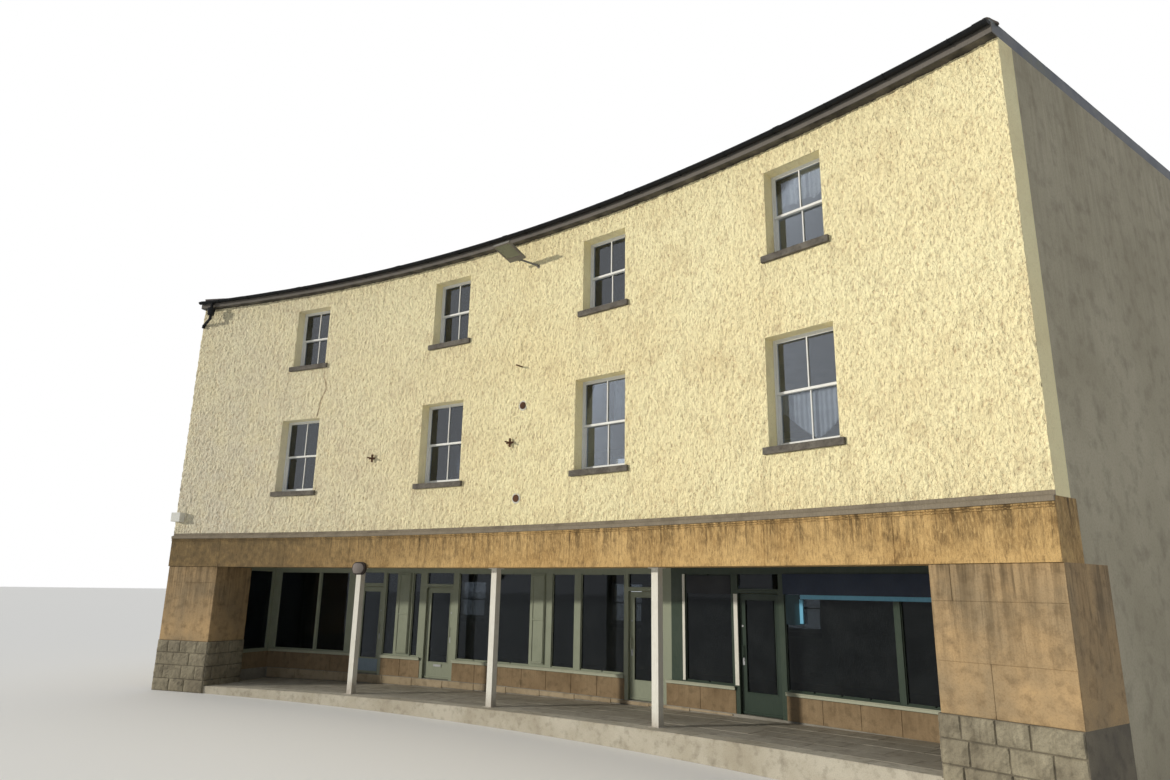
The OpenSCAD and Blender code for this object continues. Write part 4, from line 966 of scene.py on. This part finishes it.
spot = at(BOX_S, -.0008, BOX_Z)
for z in (.03, .10, .17):
    ribs.box(spot, (-.124, -.170, z), (.124, -.1635, z + .012), .003)
ribs.make("wall_box_ribs", M["box"], slot="box_plastic")


def wall_bar(pile, s, z, r, reach, sides):
    """A round bar that stands out of the front."""
    spot = at(s, 0, z)
    pile.tube([spot @ Vector((0, .003, 0)), spot @ Vector((0, -reach, 0))], r, sides)


pins, rings = Pile(), Pile()
for s, z in CAPS:
    wall_bar(pins, s, z, .069, .032, 20)
    wall_bar(rings, s, z, .098, .018, 24)
for s, z in (*CROSSES, LONE_PIN):
    wall_bar(pins, s, z, .015, .19, 8)
ARM, ARM_W = .082, .017
for s, z in CROSSES:
    pins.box(at(s, 0, z), (-ARM, -.068, -ARM_W), (ARM, -.042, ARM_W), .004)
    pins.box(at(s, 0, z), (-ARM_W, -.070, -ARM), (ARM_W, -.040, ARM), .004)
pins.make("wall_caps", M["iron"], slot="iron")
rings.make("cap_rings", M["ceiling"], slot="render")


def curtain(name, w, i, x0, x1, z0, z1, folds, hem=lambda t: 0.0, mat="net"):
    """Cloth gathered on a rod behind a window: x0..x1 of the half width, z0..z1 above its sill."""
    spot = at(w["s"][i], REVEAL + SASH_D + .026, w["sill"])
    half, nu, nv = w["w"] / 2 - .012, 24 * folds + 1, 15
    t = np.linspace(0, 1, nu)
    wave = .009 * np.sin(2 * pi * folds * t) + .003 * np.sin(2 * pi * folds * .37 * t + i)
    low = z0 + np.array([hem(a) for a in t])
    front = np.array([np.stack([half * (x0 + (x1 - x0) * t), wave * (1.1 - .3 * v), low + (z1 - low) * v],
                               -1) for v in np.linspace(0, 1, nv)])
    flat = front.reshape(-1, 3)
    verts = [spot @ Vector(v) for v in np.concatenate([flat, flat + [0, .0008, 0]])]
    o = mesh(name, verts, grid_solid(nu, nv), M[mat], smooth=True)
    end = w["w"] / 2 - .001
    RODS.tube([spot @ Vector((x, 0, z1 - .012)) for x in (-end, end)], .005, 8)


RODS = Pile()
mid, top = FIRST["h"] / 2, SECOND["h"] - .05
curtain("cafe_curtain", FIRST, 3, -.96, .96, .06, mid, 13,
        lambda t: .05 + .42 * min(1, 2 * abs(t - .55)) ** 1.3)
curtain("lace_valance", SECOND, 3, -.9, .98, .86, top - .01, 11, lambda t: .05 * abs(sin(9.4 * t)),
        "lace")
curtain("side_curtain_left", SECOND, 2, -.97, -.30, .05, top, 5)
curtain("side_curtain_right", SECOND, 2, .52, .97, .05, top, 4)
curtain("net_curtain", SECOND, 0, -.70, .60, .05, top, 8)
curtain("pale_curtain", FIRST, 2, .12, .97, mid + .06, FIRST["h"] - .05, 5)
RODS.make("curtain_rods", M["sash"], slot="sash_wood")

# ---- floor, lights, world, camera
FLOOR = 300
floor_me = bpy.data.meshes.new("studio_floor")
floor_me.from_pydata([(x * FLOOR, y * FLOOR, -.002) for x, y in ((-1, -1), (1, -1), (1, 1), (-1, 1))], [],
                     [(0, 1, 2, 3)])
floor = link("studio_floor", floor_me)
floor_me.materials.append(Mat("studio_floor", polar=False).finish(lin(232, 231, 228), .9))

world = bpy.data.worlds.new("studio")
scene.world = world
world.use_nodes = True
nt = world.node_tree
nt.nodes.clear()
path = node(nt, "LightPath")
seen = calc(nt, "MAXIMUM", path.outputs["Is Camera Ray"],
            calc(nt, "MAXIMUM", path.outputs["Is Glossy Ray"], path.outputs["Is Transmission Ray"]))
shade = node(nt, "Background", {0: (.86, .92, 1, 1), 1: .27})
white = node(nt, "Background", {0: (1, 1, 1, 1), 1: 1.0})
nt.links.new(blend(nt, seen, shade, white).outputs[0], node(nt, "OutputWorld").inputs[0])


def sun(name, energy, angle, aim, color=(1, 1, 1)):
    """A distant lamp that shines along aim and is not seen in reflections."""
    data = bpy.data.lights.new(name, "SUN")
    data.energy, data.angle, data.color = energy, radians(angle), color
    o = link(name, data)
    o.rotation_euler = Vector(aim).to_track_quat("-Z", "Y").to_euler()
    o.visible_glossy = False


sun("key", 2.8, 2, (.694, .694, -.195), (1, .95, .86))
sun("overhead", 1.0, 70, (0, 0, -1))

EYE, HEADING = (10.054, -15.125, 2.38), (-.5885, .8085, 0)
LIFT, ROLL = radians(14.131), radians(1.028)
SENSOR, FOCAL_PX, IMAGE_PX = 36, 792.6, 1170
cam_data = bpy.data.cameras.new("camera")
cam = link("camera", cam_data)
scene.camera = cam
cam_data.sensor_width = SENSOR
cam_data.lens = SENSOR * FOCAL_PX / IMAGE_PX
cam_data.clip_end = 500
ahead = Vector(HEADING).normalized() * cos(LIFT) + Vector((0, 0, sin(LIFT)))
level = ahead.cross(Vector((0, 0, 1))).normalized()
right = level * cos(ROLL) + level.cross(ahead) * sin(ROLL)
up = right.cross(ahead)
cam.matrix_world = Matrix.Translation(EYE) @ Matrix((right, up, -ahead)).transposed().to_4x4()

scene.view_settings.view_transform = "Standard"
